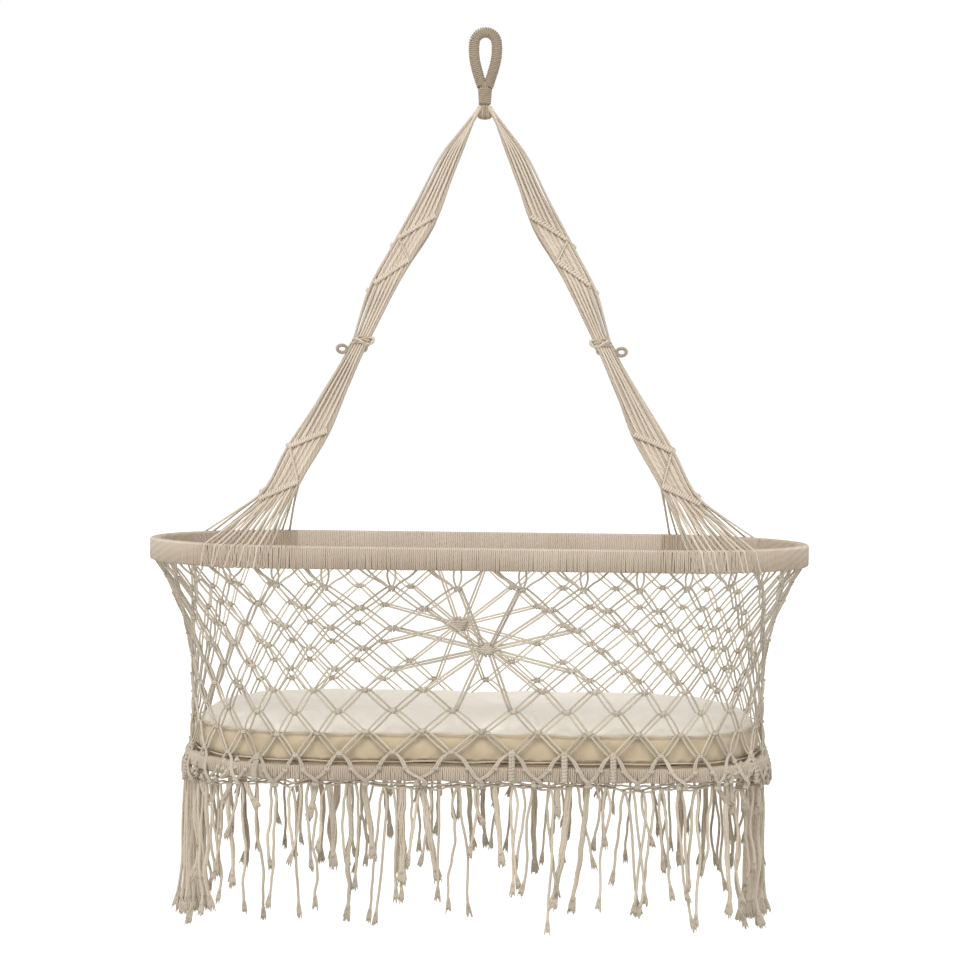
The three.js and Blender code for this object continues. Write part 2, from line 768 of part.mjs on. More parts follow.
  // A small side loop of the outer cords at the gathering knot.
  picotLoop() {
    const { halfWidth } = this.gatherSize();
    const reach = Math.SQRT2 * (gatherCord / 2 + fineGap);
    const beside = halfWidth + reach + gatherCord * picotSeatShare + touchGap + picotLength / 2;
    const centre = this.gatherPoint(middleShare, 0).addScaledVector(this.sideAxis, beside);
    const long = (picotLength - picotCord) / 2;
    const tall = (picotHeight - picotCord) / 2;
    const rings = Array.from({ length: picotSteps }, (_, i) => {
      const angle = (i / picotSteps) * 2 * Math.PI;
      const turn = (side, rise) => new THREE.Vector3().addScaledVector(this.sideAxis, side).setZ(rise);
      const out = turn(Math.cos(angle), Math.sin(angle));
      const at = turn(long * Math.cos(angle), tall * Math.sin(angle)).add(centre);
      return Array.from({ length: picotSides }, (_unused, side) => {
        const around = (side / picotSides) * 2 * Math.PI;
        return at
          .clone()
          .addScaledVector(out, (picotCord / 2) * Math.cos(around))
          .addScaledVector(this.faceAxis, (picotCord / 2) * Math.sin(around));
      });
    });
    return endlessLoft(rings);
  }
}

const straps = [
  new Strap("front_left", -1, -1),
  new Strap("front_right", 1, -1),
  new Strap("back_left", -1, 1),
  new Strap("back_right", 1, 1),
];
for (const strap of straps) {
  addPiece(strap.name + "_strap_cords", strap.cordsSolid(), cotton);
  addPiece(strap.name + "_upper_hitch_band", strap.hitchBand("upperHitch", "upperReturn"), cottonShade);
  addPiece(strap.name + "_lower_hitch_band", strap.hitchBand("lowerHitch", "lowerReturn"), cottonShade);
  addPiece(strap.name + "_gathering_knot", loft(strap.gatherWinding()), cotton);
}
addPiece("left_picot_loop", straps[2].picotLoop(), cotton);
addPiece("right_picot_loop", straps[3].picotLoop(), cotton);
const gatherSteps = 8;
const gatherGap = leastTurnGap(straps[0].gatherWinding(), gatherSteps);
console.log("least gap of the gathering knots", gatherGap.toFixed(2));

// Net. Even rows have their knots at whole columns and odd rows between them. Column 0 is the front middle.

function netInsetAt(dropShare) {
  const last = netProfileShares.length - 1;
  let i = 1;
  while (i < last && netProfileShares[i][0] < dropShare) {
    i += 1;
  }
  const [fromDrop, fromInset] = netProfileShares[i - 1];
  const [toDrop, toInset] = netProfileShares[i];
  const share = (dropShare - fromDrop) / (toDrop - fromDrop);
  return netInset * (fromInset + (toInset - fromInset) * share);
}

function netPoint(column, drop, shiftAlong = 0) {
  const radius = rimRadius - netInsetAt(drop / netDrop);
  const share = column / netColumns;
  const drift = netDrift * Math.cos(2 * Math.PI * share);
  const place = ovalAlong(radius, share + (shiftAlong + drift) / ovalAlong(radius, share).whole);
  const out = new THREE.Vector3(Math.cos(place.angle), Math.sin(place.angle), 0);
  return { point: new THREE.Vector3(place.x, place.y, rimBottomZ - drop), out };
}

const rowDrop = (row) => netDrop * (netTopShare + netRowShare * (row - 1));
const starRow = 4;
const starColumns = { front: 0, back: (netColumns + 1) / 2 };

// The front and the back panel reach as far as the straight of the rim, and each end is parted in three.
const netPerimeter = ovalAlong(rimMidRadius, 0).whole;
const straightColumns = Math.round((2 * netColumns * straightHalf) / netPerimeter) / 2;
const frontEdge = straightColumns + columnStep / 2;
const backEdge = netColumns / 2 - frontEdge;
const endThird = (backEdge - frontEdge) / 3;
const nearKnot = (column) => Math.round(column / columnStep) * columnStep;
const panelEdges = [
  ["net_front", frontEdge],
  ["net_front_right", nearKnot(frontEdge + endThird)],
  ["net_right_end", nearKnot(backEdge - endThird)],
  ["net_back_right", backEdge],
  ["net_back", netColumns - backEdge],
  ["net_back_left", netColumns - nearKnot(backEdge - endThird)],
  ["net_left_end", netColumns - nearKnot(frontEdge + endThird)],
  ["net_front_left", netColumns - frontEdge],
  ["net_front", netColumns],
];

function wrapColumn(column) {
  return ((column % netColumns) + netColumns) % netColumns;
}

function panelOf(column) {
  return panelEdges.find(([, edge]) => wrapColumn(column) <= edge)[0];
}

function columnsApart(a, b) {
  const apart = Math.abs(wrapColumn(a) - wrapColumn(b));
  return Math.min(apart, netColumns - apart);
}

// The star of a side takes the place of a diamond of nine knots.
function starOf(row, column) {
  const reach = 2 - Math.abs(row - starRow);
  return Object.values(starColumns).find((centre) => 2 * columnsApart(column, centre) <= reach);
}

const sides = { upRight: ["R", "U"], upLeft: ["U", "L"], downLeft: ["L", "D"], downRight: ["D", "R"] };

class NetKnot {
  constructor(row, column) {
    this.row = row;
    this.column = wrapColumn(column);
    this.panel = panelOf(this.column);
    const drop = rowDrop(row);
    const centre = netPoint(column, drop);
    this.out = centre.out;
    this.peak = centre.point.clone().addScaledVector(centre.out, netCord / 2 + knotProud);
    this.corners = {
      R: this.corner(netPoint(column, drop, knotHalfWidth).point),
      L: this.corner(netPoint(column, drop, -knotHalfWidth).point),
      U: this.corner(netPoint(column, drop - knotHalfHeight).point),
      D: this.corner(netPoint(column, drop + knotHalfHeight).point),
    };
  }

  corner(point) {
    return {
      outer: point.clone().addScaledVector(this.out, netCord / 2),
      inner: point.clone().addScaledVector(this.out, -netCord / 2),
    };
  }

  side(name) {
    const [first, second] = sides[name];
    return [this.corners[first], this.corners[second]];
  }

  addFaces(triangles) {
    const { R, U, L, D } = this.corners;
    triangles.push([this.peak, R.outer, U.outer], [this.peak, U.outer, L.outer]);
    triangles.push([this.peak, L.outer, D.outer], [this.peak, D.outer, R.outer]);
    quad(triangles, R.inner, D.inner, L.inner, U.inner);
  }
}

function addEnd(triangles, [a, b]) {
  quad(triangles, a.outer, a.inner, b.inner, b.outer);
}

function addStrut(triangles, [a, b], [farA, farB]) {
  quad(triangles, a.outer, farA.outer, farB.outer, b.outer);
  quad(triangles, a.inner, b.inner, farB.inner, farA.inner);
  quad(triangles, a.outer, a.inner, farA.inner, farA.outer);
  quad(triangles, b.outer, farB.outer, farB.inner, b.inner);
}

function moved(corner, shift) {
  return { outer: corner.outer.clone().add(shift), inner: corner.inner.clone().add(shift) };
}

// The far end of a doubled cord that stops a gap short of the side of a knot in the next panel.
function shortOf(near, far) {
  const from = near[0].outer.clone().add(near[1].inner);
  const to = far[0].outer.clone().add(far[1].inner);
  const back = from.sub(to).normalize().multiplyScalar(fineGap);
  return far.map((corner) => moved(corner, back));
}

// The far end at the rim band or at the base band.
function endAtBand(knot, columnShift, atRim) {
  const drop = atRim ? touchGap : netDrop - touchGap;
  const halfWidth = atRim ? rimFanHalf : knotHalfWidth / 2;
  const place = (shift) => {
    const at = netPoint(knot.column + columnShift, drop, shift);
    return {
      outer: at.point.clone().addScaledVector(at.out, netCord / 2),
      inner: at.point.clone().addScaledVector(at.out, -netCord / 2),
    };
  };
  return atRim ? [place(halfWidth), place(-halfWidth)] : [place(-halfWidth), place(halfWidth)];
}

// The far end of a spoke beside the star's bound middle.
function endAtStar(near, starColumn) {
  const star = netPoint(starColumn, rowDrop(starRow));
  const mid = near[0].outer.clone().lerp(near[1].inner, middleShare);
  const away = mid.clone().sub(star.point).normalize();
  const along = near[1].outer.clone().sub(near[0].outer);
  const across = along.addScaledVector(away, -along.dot(away)).normalize();
  const centre = star.point.clone().addScaledVector(away, starKnotRadius + fineGap);
  return [-spokeEndHalf, spokeEndHalf].map((half) => {
    const at = centre.clone().addScaledVector(across, half);
    return {
      outer: at.clone().addScaledVector(star.out, netCord / 2),
      inner: at.clone().addScaledVector(star.out, -netCord / 2),
    };
  });
}

const knots = new Map();
const knotKey = (row, column) => row + "/" + wrapColumn(column);
for (let row = 1; row <= netRows; row++) {
  for (let i = 0; i < netColumns; i++) {
    const column = i + (row % 2 === 0 ? 0 : 0.5);
    if (starOf(row, column) === undefined) {
      knots.set(knotKey(row, column), new NetKnot(row, column));
    }
  }
}

const netPanels = new Map();
for (const knot of knots.values()) {
  if (!netPanels.has(knot.panel)) {
    netPanels.set(knot.panel, []);
  }
  const triangles = netPanels.get(knot.panel);
  knot.addFaces(triangles);
  const links = [
    ["upLeft", -0.5, -1, "downRight"],
    ["upRight", 0.5, -1, "downLeft"],
    ["downLeft", -0.5, 1, "upRight"],
    ["downRight", 0.5, 1, "upLeft"],
  ];
  for (const [name, sideStep, rowStep, facing] of links) {
    const near = knot.side(name);
    const row = knot.row + rowStep;
    const column = knot.column + sideStep;
    if (row < 1 || row > netRows) {
      const end = endAtBand(knot, sideStep / 2, row < 1);
      addStrut(triangles, near, end);
      addEnd(triangles, end);
      continue;
    }
    const other = knots.get(knotKey(row, column));
    if (other === undefined) {
      const end = endAtStar(near, starOf(row, column));
      addStrut(triangles, near, end);
      addEnd(triangles, end);
    } else if (other.panel !== knot.panel) {
      if (rowStep > 0) {
        const [otherA, otherB] = other.side(facing);
        const end = shortOf(near, [otherB, otherA]);
        addStrut(triangles, near, end);
        addEnd(triangles, end);
      } else {
        addEnd(triangles, near);
      }
    } else if (rowStep > 0) {
      const [otherA, otherB] = other.side(facing);
      addStrut(triangles, near, [otherB, otherA]);
    }
  }
}
for (const [name, triangles] of netPanels) {
  addPiece(name, toGeometry(triangles), cotton);
}

const starKnotColumns = 10;
const starKnotRows = 4;
for (const [side, column] of Object.entries(starColumns)) {
  const { point, out } = netPoint(column, rowDrop(starRow));
  const dome = new THREE.SphereGeometry(starKnotRadius, starKnotColumns, starKnotRows);
  dome.rotateX(Math.PI / 2).scale(1, starKnotProud / starKnotRadius, 1);
  dome.rotateZ(Math.atan2(out.y, out.x) - Math.PI / 2).translate(point.x, point.y, point.z);
  addPiece(side + "_star_knot", dome, cottonShade);
}

// Board and lacing that carry the mattress

const boardTopZ = baseTopZ + boardRise;
const boardRadius = baseInnerRadius - boardGap;
const boardBottomZ = boardTopZ - boardThickness;
const boardRings = [ovalRing(boardRadius, boardBottomZ), ovalRing(boardRadius, boardTopZ)];
addPiece("base_board", loft(boardRings), plywood);

const facetShare = Math.cos(Math.PI / (2 * arcSteps));
const lacingReach = baseInnerRadius * facetShare - fineGap;
const lacingMidZ = boardBottomZ - touchGap - lacingThickness / 2;

function lacingStrip(x, y, halfX, halfY) {
  return new THREE.BoxGeometry(2 * halfX, 2 * halfY, lacingThickness).translate(x, y, lacingMidZ);
}

const lacing = [];
const crossings = Math.floor((straightHalf + lacingReach * lacingEndShare) / lacingSpacing);
for (let i = -crossings; i <= crossings; i++) {
  const x = i * lacingSpacing;
  const past = Math.max(0, Math.abs(x) + lacingWidth / 2 - straightHalf);
  lacing.push(lacingStrip(x, 0, lacingWidth / 2, Math.sqrt(lacingReach * lacingReach - past * past)));
}
for (const side of [-1, 1]) {
  const y = side * lacingReach * lacingRunShare;
  const edge = Math.abs(y) + lacingWidth / 2;
  const halfRun = straightHalf + Math.sqrt(lacingReach * lacingReach - edge * edge);
  lacing.push(lacingStrip(0, y, halfRun, lacingWidth / 2));
}
addPiece("base_lacing", join(lacing), cottonShade);

// Mattress: a crowned cushion whose sides draw in between its two seams

const mattressRadius = rimRadius - netInset - netCord / 2 - mattressGap;
const mattressBottomZ = boardTopZ + touchGap;
const mattressEdgeZ = mattressBottomZ + mattressThickness;
const mattressProfileShares = [
  [0.05, 0, 0],
  [0, 0.12, 0],
  [0, 0.35, 0],
  [0, 0.65, 0],
  [0, 0.9, 0],
  [0.03, 1, 0],
  [0.14, 1, 0.38],
  [0.32, 1, 0.72],
  [0.6, 1, 0.94],
  [0.92, 1, 1],
];
const mattressRings = mattressProfileShares.map(([inShare, thickShare, crownShare]) => {
  const drawIn = mattressDrawIn * Math.sin(Math.PI * thickShare) * (crownShare > 0 ? 0 : 1);
  const radius = mattressRadius * (1 - inShare) - drawIn;
  return ovalRing(radius, mattressBottomZ + mattressThickness * thickShare + mattressCrown * crownShare);
});
addPiece("mattress", loft(mattressRings), cloth);

// Fringe: cord ends that hang from a hem cord under the base band

const hemTopZ = baseBottomZ - touchGap;
const hemHeight = hemCord * hemFlatShare;
const hashStep = 12.9898;
const hashSalt = 78.233;
const hashScale = 43758.5453;

function chance(index, salt) {
  const value = Math.sin(index * hashStep + salt * hashSalt) * hashScale;
  return value - Math.floor(value);
}

function hemCorner(along, radiusShift, z) {
  const place = ovalAlong(baseMidRadius, along);
  const out = new THREE.Vector3(Math.cos(place.angle), Math.sin(place.angle), 0);
  return new THREE.Vector3(place.x, place.y, z).addScaledVector(out, radiusShift);
}

const hemPerimeter = ovalAlong(baseMidRadius, 0).whole;

function hemBorder(along) {
  const half = hemCord / 2;
  return {
    topOut: hemCorner(along, half, hemTopZ),
    topIn: hemCorner(along, -half, hemTopZ),
    lowOut: hemCorner(along, half, hemTopZ - hemHeight),
    lowIn: hemCorner(along, -half, hemTopZ - hemHeight),
  };
}

function strandWidth(index) {
  return chance(index, 1) > fringeThinShare ? fringeBundle : fringeCord;
}

// One hanging cord end, from the underside of its cell of the hem cord.
function addStrand(triangles, index, left, right) {
  const length = fringeShortest + (fringeLongest - fringeShortest) * Math.sqrt(chance(index, 2));
  const width = strandWidth(index);
  const centre = index / fringeStrands;
  const ring = (share, flare) => {
    const sway = fringeSway * share * (2 * chance(index, 3 + share) - 1);
    const swing = fringeSway * share * (2 * chance(index, 5 + share) - 1);
    const mid = centre + sway / hemPerimeter;
    const halfShare = (width * flare) / (2 * hemPerimeter);
    const halfThick = fringeCord / 2;
    const z = hemTopZ - hemHeight - length * share;
    return [
      hemCorner(mid - halfShare, swing + halfThick, z),
      hemCorner(mid - halfShare, swing - halfThick, z),
      hemCorner(mid + halfShare, swing - halfThick, z),
      hemCorner(mid + halfShare, swing + halfThick, z),
    ];
  };
  const root = [left.lowOut, left.lowIn, right.lowIn, right.lowOut];
  const rings = [root, ring(fringeMidShare, 1), ring(1, fringeEndFlare)];
  skin(triangles, rings[0], rings[1]);
  skin(triangles, rings[1], rings[2]);
  fan(triangles, rings[2]);
}

function fringeSolid(first, last, omitted) {
  const triangles = [];
  const trim = touchGap / 2 / hemPerimeter;
  const borders = [{ share: (first - 0.5) / fringeStrands + trim, strand: null }];
  for (let i = first; i <= last; i++) {
    if (i === omitted) {
      continue;
    }
    const half = strandWidth(i) / 2 / hemPerimeter;
    borders.push({ share: i / fringeStrands - half, strand: i });
    borders.push({ share: i / fringeStrands + half, strand: null });
  }
  borders.push({ share: (last + 0.5) / fringeStrands - trim, strand: null });
  const corners = borders.map(({ share }) => hemBorder(share));
  for (let i = 1; i < corners.length; i++) {
    const left = corners[i - 1];
    const right = corners[i];
    quad(triangles, left.lowOut, right.lowOut, right.topOut, left.topOut);
    quad(triangles, right.lowIn, left.lowIn, left.topIn, right.topIn);
    quad(triangles, left.topOut, right.topOut, right.topIn, left.topIn);
    if (borders[i - 1].strand === null) {
      quad(triangles, left.lowOut, left.lowIn, right.lowIn, right.lowOut);
    } else {
      addStrand(triangles, borders[i - 1].strand, left, right);
    }
  }
  const head = corners[0];
  const tail = corners[corners.length - 1];
  quad(triangles, head.topOut, head.topIn, head.lowIn, head.lowOut);
  quad(triangles, tail.topOut, tail.lowOut, tail.lowIn, tail.topIn);
  return toGeometry(triangles);
}

const frontReach = Math.floor((straightHalf / hemPerimeter) * fringeStrands);
const backFirst = Math.ceil(fringeStrands / 2 - (straightHalf / hemPerimeter) * fringeStrands);
const backLast = fringeStrands - backFirst;
const rightTassel = Math.round(fringeStrands * 0.25);
const leftTassel = fringeStrands - rightTassel;
addPiece("fringe_front", fringeSolid(-frontReach, frontReach), cotton);
addPiece("fringe_right_end", fringeSolid(frontReach + 1, backFirst - 1, rightTassel), cotton);
addPiece("fringe_back", fringeSolid(backFirst, backLast), cotton);
addPiece("fringe_left_end", fringeSolid(backLast + 1, fringeStrands - frontReach - 1, leftTassel), cotton);

// End tassels: a thick bundle that widens to its loose end
const tasselSides = 8;
const tasselShares = [
  [0, 0.6, 0.6],
  [0.03, 1, 0.9],
  [0.1, 0.75, 0.75],
  [0.16, 1, 0.9],
  [0.6, 1.5, 1],
  [1, 3, 1],
];
for (const [name, index] of [
  ["left_tassel", leftTassel],
  ["right_tassel", rightTassel],
]) {
  const top = hemCorner(index / fringeStrands, 0, hemTopZ - hemHeight - touchGap);
  const spread = (widthShare) => Math.min(tasselHead * widthShare, tasselFlare);
  const rings = tasselShares.map(([fallShare, widthShare, depthShare]) =>
    Array.from({ length: tasselSides }, (_, side) => {
      const angle = (side / tasselSides) * 2 * Math.PI;
      const x = tasselDepth * depthShare * Math.cos(angle);
      const y = spread(widthShare) * Math.sin(angle);
      return new THREE.Vector3(top.x + x, top.y + y, top.z - tasselLength * fallShare);
    }),
  );
  addPiece(name, loft(rings), cotton);
}

export default cradle;
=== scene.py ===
"""Oval hanging cradle of knotted cotton cord, dressed for the picture over its construction model.

Sizes are in metres in the construction's own frame: the origin is the inner top of the hanging loop, X runs
along the cradle, Y from its front to its back and Z upwards.
"""

import json
import logging
import math
from dataclasses import dataclass
from enum import Enum
from typing import Any, Sequence

import bpy
import numpy as np
from mathutils import Matrix, Vector

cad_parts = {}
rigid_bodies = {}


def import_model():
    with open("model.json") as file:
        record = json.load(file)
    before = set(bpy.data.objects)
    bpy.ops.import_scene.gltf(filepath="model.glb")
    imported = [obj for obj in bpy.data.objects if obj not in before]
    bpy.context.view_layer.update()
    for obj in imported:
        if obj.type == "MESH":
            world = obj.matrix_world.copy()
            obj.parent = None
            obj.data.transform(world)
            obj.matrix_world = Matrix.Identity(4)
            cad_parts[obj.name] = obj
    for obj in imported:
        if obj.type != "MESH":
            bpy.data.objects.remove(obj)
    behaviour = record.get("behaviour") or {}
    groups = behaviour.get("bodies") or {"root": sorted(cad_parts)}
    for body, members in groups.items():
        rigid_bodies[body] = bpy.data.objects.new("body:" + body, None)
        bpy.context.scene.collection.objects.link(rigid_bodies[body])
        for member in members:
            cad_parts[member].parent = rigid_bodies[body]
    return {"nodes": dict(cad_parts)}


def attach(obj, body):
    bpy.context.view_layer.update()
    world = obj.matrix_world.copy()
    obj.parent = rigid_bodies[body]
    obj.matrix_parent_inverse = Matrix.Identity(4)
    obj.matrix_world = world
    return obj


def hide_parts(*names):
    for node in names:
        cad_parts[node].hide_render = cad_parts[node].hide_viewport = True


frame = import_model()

Array = np.ndarray
Colour = tuple[float, float, float, float]
Settings = dict[Any, Any] | None
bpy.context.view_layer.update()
ALONG, ACROSS, UP = np.eye(3)
TINY, CLOSE = 1e-12, 1e-9  # lengths that count as none
INDEX_STEP, SALT_STEP, STIR = 12.9898, 78.233, 43758.5453  # of the repeatable numbers
log = logging.getLogger("cradle")


class Body(Enum):
    """The moving bodies of the cradle."""

    LOOP = "hanging_loop"
    KNOT = "swing_knot"
    CRADLE = "cradle"
    MATTRESS = "mattress"


# Small helpers for points and curves


def chance(index: Any, salt: float) -> Array:
    """Gives repeatable numbers from 0 to 1.

    Args:
        index: One number or an array of numbers, such as the places of cords.
        salt: Picks the series.

    Returns:
        A number from 0 to 1 for each index.
    """
    value = np.sin(np.asarray(index, float) * INDEX_STEP + salt * SALT_STEP) * STIR
    return value - np.floor(value)


def unit(vectors: Array) -> Array:
    """Returns the vectors at length one."""
    return vectors / np.maximum(np.linalg.norm(vectors, axis=-1, keepdims=True), TINY)


def mixed(low: Any, high: Any, share: Any) -> Any:
    """Returns the value this share of the way from low to high."""
    return low + (high - low) * share


def smooth(controls: Array, per_span: int = 6) -> Array:
    """Draws soft curves through control points.

    Args:
        controls: Points of one curve (C, 3) or of several (M, C, 3).
        per_span: Steps between two control points.

    Returns:
        The points of the curves, in the same arrangement.
    """
    points = controls if controls.ndim == 3 else controls[None]
    steps = np.diff(points, axis=1)
    gaps = np.linalg.norm(steps, axis=-1, keepdims=True) + CLOSE
    slopes = steps / gaps
    ways = np.empty_like(points)
    ways[:, 0], ways[:, -1] = slopes[:, 0], slopes[:, -1]
    ways[:, 1:-1] = (slopes[:, :-1] * gaps[:, 1:] + slopes[:, 1:] * gaps[:, :-1]) / (gaps[:, :-1] + gaps[:, 1:])
    t = (np.arange(per_span) / per_span)[:, None]
    start, end = points[:, :-1, None], points[:, 1:, None]
    leave, reach = (ways[:, :-1] * gaps)[:, :, None], (ways[:, 1:] * gaps)[:, :, None]
    curve = (2 * t**3 - 3 * t**2 + 1) * start + (t**3 - 2 * t**2 + t) * leave
    curve = curve + (3 * t**2 - 2 * t**3) * end + (t**3 - t**2) * reach
    drawn = np.concatenate([curve.reshape(len(points), -1, 3), points[:, -1:]], 1)
    return drawn if controls.ndim == 3 else drawn[0]


def evenly(path: Array, count: int, first: float = 0.0, last: float = 1.0) -> Array:
    """Samples a path at even steps of its length.

    Args:
        path: Points of the path.
        count: How many samples to take.
        first: Share of the length where the samples start.
        last: Share of the length where they end.

    Returns:
        The samples (count, 3).
    """
    run = np.concatenate([[0.0], np.cumsum(np.linalg.norm(np.diff(path, axis=0), axis=1))])
    places = np.linspace(first, last, count) * run[-1]
    return np.stack([np.interp(places, run, path[:, axis]) for axis in range(3)], 1)


def coil(centres: Array, one: Array, other: Array, turns: float, phase: float = 0.0) -> Array:
    """Winds a path round a line of centres.

    Args:
        centres: Points of the line, one for each point of the winding.
        one: Reach at the start of each turn, one vector or one for each centre.
        other: Reach a quarter of a turn later.
        turns: How many turns the winding makes.
        phase: Turn by which it starts later.

    Returns:
        The points of the winding.
    """
    angle = 2 * math.pi * (np.linspace(0, turns, len(centres)) + phase)[:, None]
    return centres + one * np.cos(angle) + other * np.sin(angle)


def revolved(profile: Array, count: int) -> Array:
    """Repeats a profile all round the Z axis.

    Args:
        profile: Its points as rows of reach and height.
        count: How many copies stand round the axis.

    Returns:
        The points of the copies (count, K, 3).
    """
    angle = np.arange(count) * math.pi / (count / 2)
    ring = np.stack([np.cos(angle), np.sin(angle)], 1)[:, None]
    heights = np.broadcast_to(profile[:, 1:], (count, len(profile), 1))
    return np.concatenate([ring * profile[:, :1], heights], 2)


@dataclass(frozen=True)
class Oval:
    """The plan of the cradle: two straights joined by half circles, measured from the front middle."""

    straight_half: float = 0.225

    def length(self, radius: float) -> float:
        """Returns the whole way round at this radius."""
        return 4 * self.straight_half + 2 * math.pi * radius

    def _turned(self, radius: Any, along: Any) -> tuple[Array, Array]:
        """Finds which way the oval faces, and the centre that it turns about.

        Args:
            radius: Radius of the bends on which along is measured.
            along: Way from the front middle towards the right.

        Returns:
            The angles and the X of the centres.
        """
        half, bend = self.straight_half, math.pi * radius
        place = np.mod(along, 4 * half + 2 * bend)
        right = np.clip(place - half, 0, bend)
        left = np.clip(place - 3 * half - bend, 0, bend)
        run = place - right - left
        middle = np.where(run < half, run, np.where(run < 3 * half, 2 * half - run, run - 4 * half))
        return -math.pi / 2 + (right + left) / radius, middle

    def out(self, radius: Any, along: Any) -> Array:
        """Returns the outward directions at these places."""
        angle, _ = self._turned(radius, along)
        return np.stack([np.cos(angle), np.sin(angle), np.zeros_like(angle)], -1)

    def at(self, radius: Any, along: Any, height: Any, beyond: Any = 0.0) -> Array:
        """Finds points of the oval.

        Args:
            radius: Radius of the bends on which along is measured.
            along: Way from the front middle towards the right.
            height: Height of the points.
            beyond: How far outside the radius they lie.

        Returns:
            The points (..., 3).
        """
        angle, middle = self._turned(radius, along)
        reach = radius + beyond
        flat = [middle + reach * np.cos(angle), reach * np.sin(angle)]
        return np.stack(np.broadcast_arrays(*flat, height), -1)


PLAN = Oval()
MIDDLE = 0.200  # radius on which the places of the net are measured
END_DROOP = 0.016  # of the hem at both ends


def droop(out: Array) -> Array:
    """Returns how much lower the hem hangs where the oval faces these ways."""
    return END_DROOP * np.abs(out[..., 0]) ** 3


# Shaders


class Value:
    """A number of a shader that takes part in Python sums; each sum adds its Math node."""

    def __init__(self, maker: "NodeMaker", socket: bpy.types.NodeSocket) -> None:
        """Keeps the socket and the maker that it belongs to."""
        self.maker, self.socket = maker, socket

    def _sum(self, operation: str, *terms: Any) -> "Value":
        """Adds a Math node for the terms."""
        return self.maker.value("ShaderNodeMath", {"operation": operation}, dict(enumerate(terms)))

    def __add__(self, other: Any) -> "Value":
        """Returns the sum."""
        return self._sum("ADD", self, other)

    __radd__ = __add__

    def __mul__(self, other: Any) -> "Value":
        """Returns the product."""
        return self._sum("MULTIPLY", self, other)

    __rmul__ = __mul__

    def __sub__(self, other: Any) -> "Value":
        """Returns the difference."""
        return self._sum("SUBTRACT", self, other)

    def __rsub__(self, other: Any) -> "Value":
        """Returns the difference the other way round."""
        return self._sum("SUBTRACT", other, self)

    def sine(self) -> "Value":
        """Returns the sine."""
        return self._sum("SINE", self)

    def size(self) -> "Value":
        """Returns the value without its sign."""
        return self._sum("ABSOLUTE", self)

    def larger(self, other: "Value") -> "Value":
        """Returns the larger of two values."""
        return self._sum("MAXIMUM", self, other)

    def held(self) -> "Value":
        """Returns the value kept from 0 to 1."""
        return self._sum("MINIMUM", self._sum("MAXIMUM", self, 0.0), 1.0)


class NodeMaker:
    """Adds the nodes of one node tree."""

    def __init__(self, tree: bpy.types.NodeTree) -> None:
        """Keeps the tree that takes the nodes."""
        self.tree = tree

    def feed(self, socket: bpy.types.NodeSocket, value: Any) -> None:
        """Links a value to a socket, or sets it there.

        Args:
            socket: The socket that takes it.
            value: A Value, a socket, a number or a colour.
        """
        source = value.socket if isinstance(value, Value) else value
        if isinstance(source, bpy.types.NodeSocket):
            self.tree.links.new(source, socket)
        else:
            socket.default_value = source

    def node(self, kind: str, settings: Settings = None, inputs: Settings = None) -> bpy.types.Node:
        """Adds a node.

        Args:
            kind: Type of the node.
            settings: Its settings, by name.
            inputs: Values or links of its sockets, by name or number.

        Returns:
            The node.
        """
        node = self.tree.nodes.new(kind)
        for key, setting in (settings or {}).items():
            setattr(node, key, setting)
        for key, value in (inputs or {}).items():
            self.feed(node.inputs[key], value)
        return node

    def value(self, kind: str, settings: Settings = None, inputs: Settings = None, output: Any = 0) -> Value:
        """Adds a node and returns one of its outputs as a value."""
        return Value(self, self.node(kind, settings, inputs).outputs[output])


class ShaderMaker(NodeMaker):
    """Builds the nodes of one material."""

    def __init__(self, name: str) -> None:
        """Starts a material with its main shader.

        Args:
            name: Name of the material.
        """
        self.material = bpy.data.materials.new(name)
        self.material.use_nodes = True
        super().__init__(self.material.node_tree)
        self.shader = self.tree.nodes["Principled BSDF"]

    def place(self) -> bpy.types.NodeSocket:
        """Returns the place on the object, in its own coordinates."""
        return self.node("ShaderNodeTexCoord").outputs["Object"]

    def parts(self, vector: bpy.types.NodeSocket) -> list[Value]:
        """Returns the three numbers of a vector."""
        return [Value(self, part) for part in self.node("ShaderNodeSeparateXYZ", None, {0: vector}).outputs]

    def mark(self, name: str) -> Value:
        """Returns the number that the points of the mesh carry under this name."""
        return self.value("ShaderNodeAttribute", {"attribute_name": name}, None, "Fac")

    def noise(self, scale: float, detail: float = 2.0, stretch: Sequence[float] = (1, 1, 1)) -> Value:
        """Returns a cloudy pattern of this scale, per metre."""
        spot = self.node("ShaderNodeMapping", None, {"Vector": self.place(), "Scale": stretch}).outputs[0]
        return self.value("ShaderNodeTexNoise", None, {"Vector": spot, "Scale": scale, "Detail": detail}, "Fac")

    def blend(self, share: Any, low: Any, high: Any) -> bpy.types.NodeSocket:
        """Returns a colour this share of the way from low to high."""
        return self.node("ShaderNodeMix", {"data_type": "RGBA"}, {0: share, 6: low, 7: high}).outputs[2]

    def bump(self, height: Value, depth: float, strength: float) -> None:
        """Gives the surface a relief of this depth, in metres."""
        relief = self.node("ShaderNodeBump", None, {"Height": height, "Distance": depth, "Strength": strength})
        self.feed(self.shader.inputs["Normal"], relief.outputs[0])

    def settle(self, **values: Any) -> bpy.types.Material:
        """Sets the main shader's sockets.

        Args:
            values: Values or links by the sockets' names, which have _ for a space.

        Returns:
            The material.
        """
        for key, value in values.items():
            self.feed(self.shader.inputs[key.replace("_", " ")], value)
        return self.material


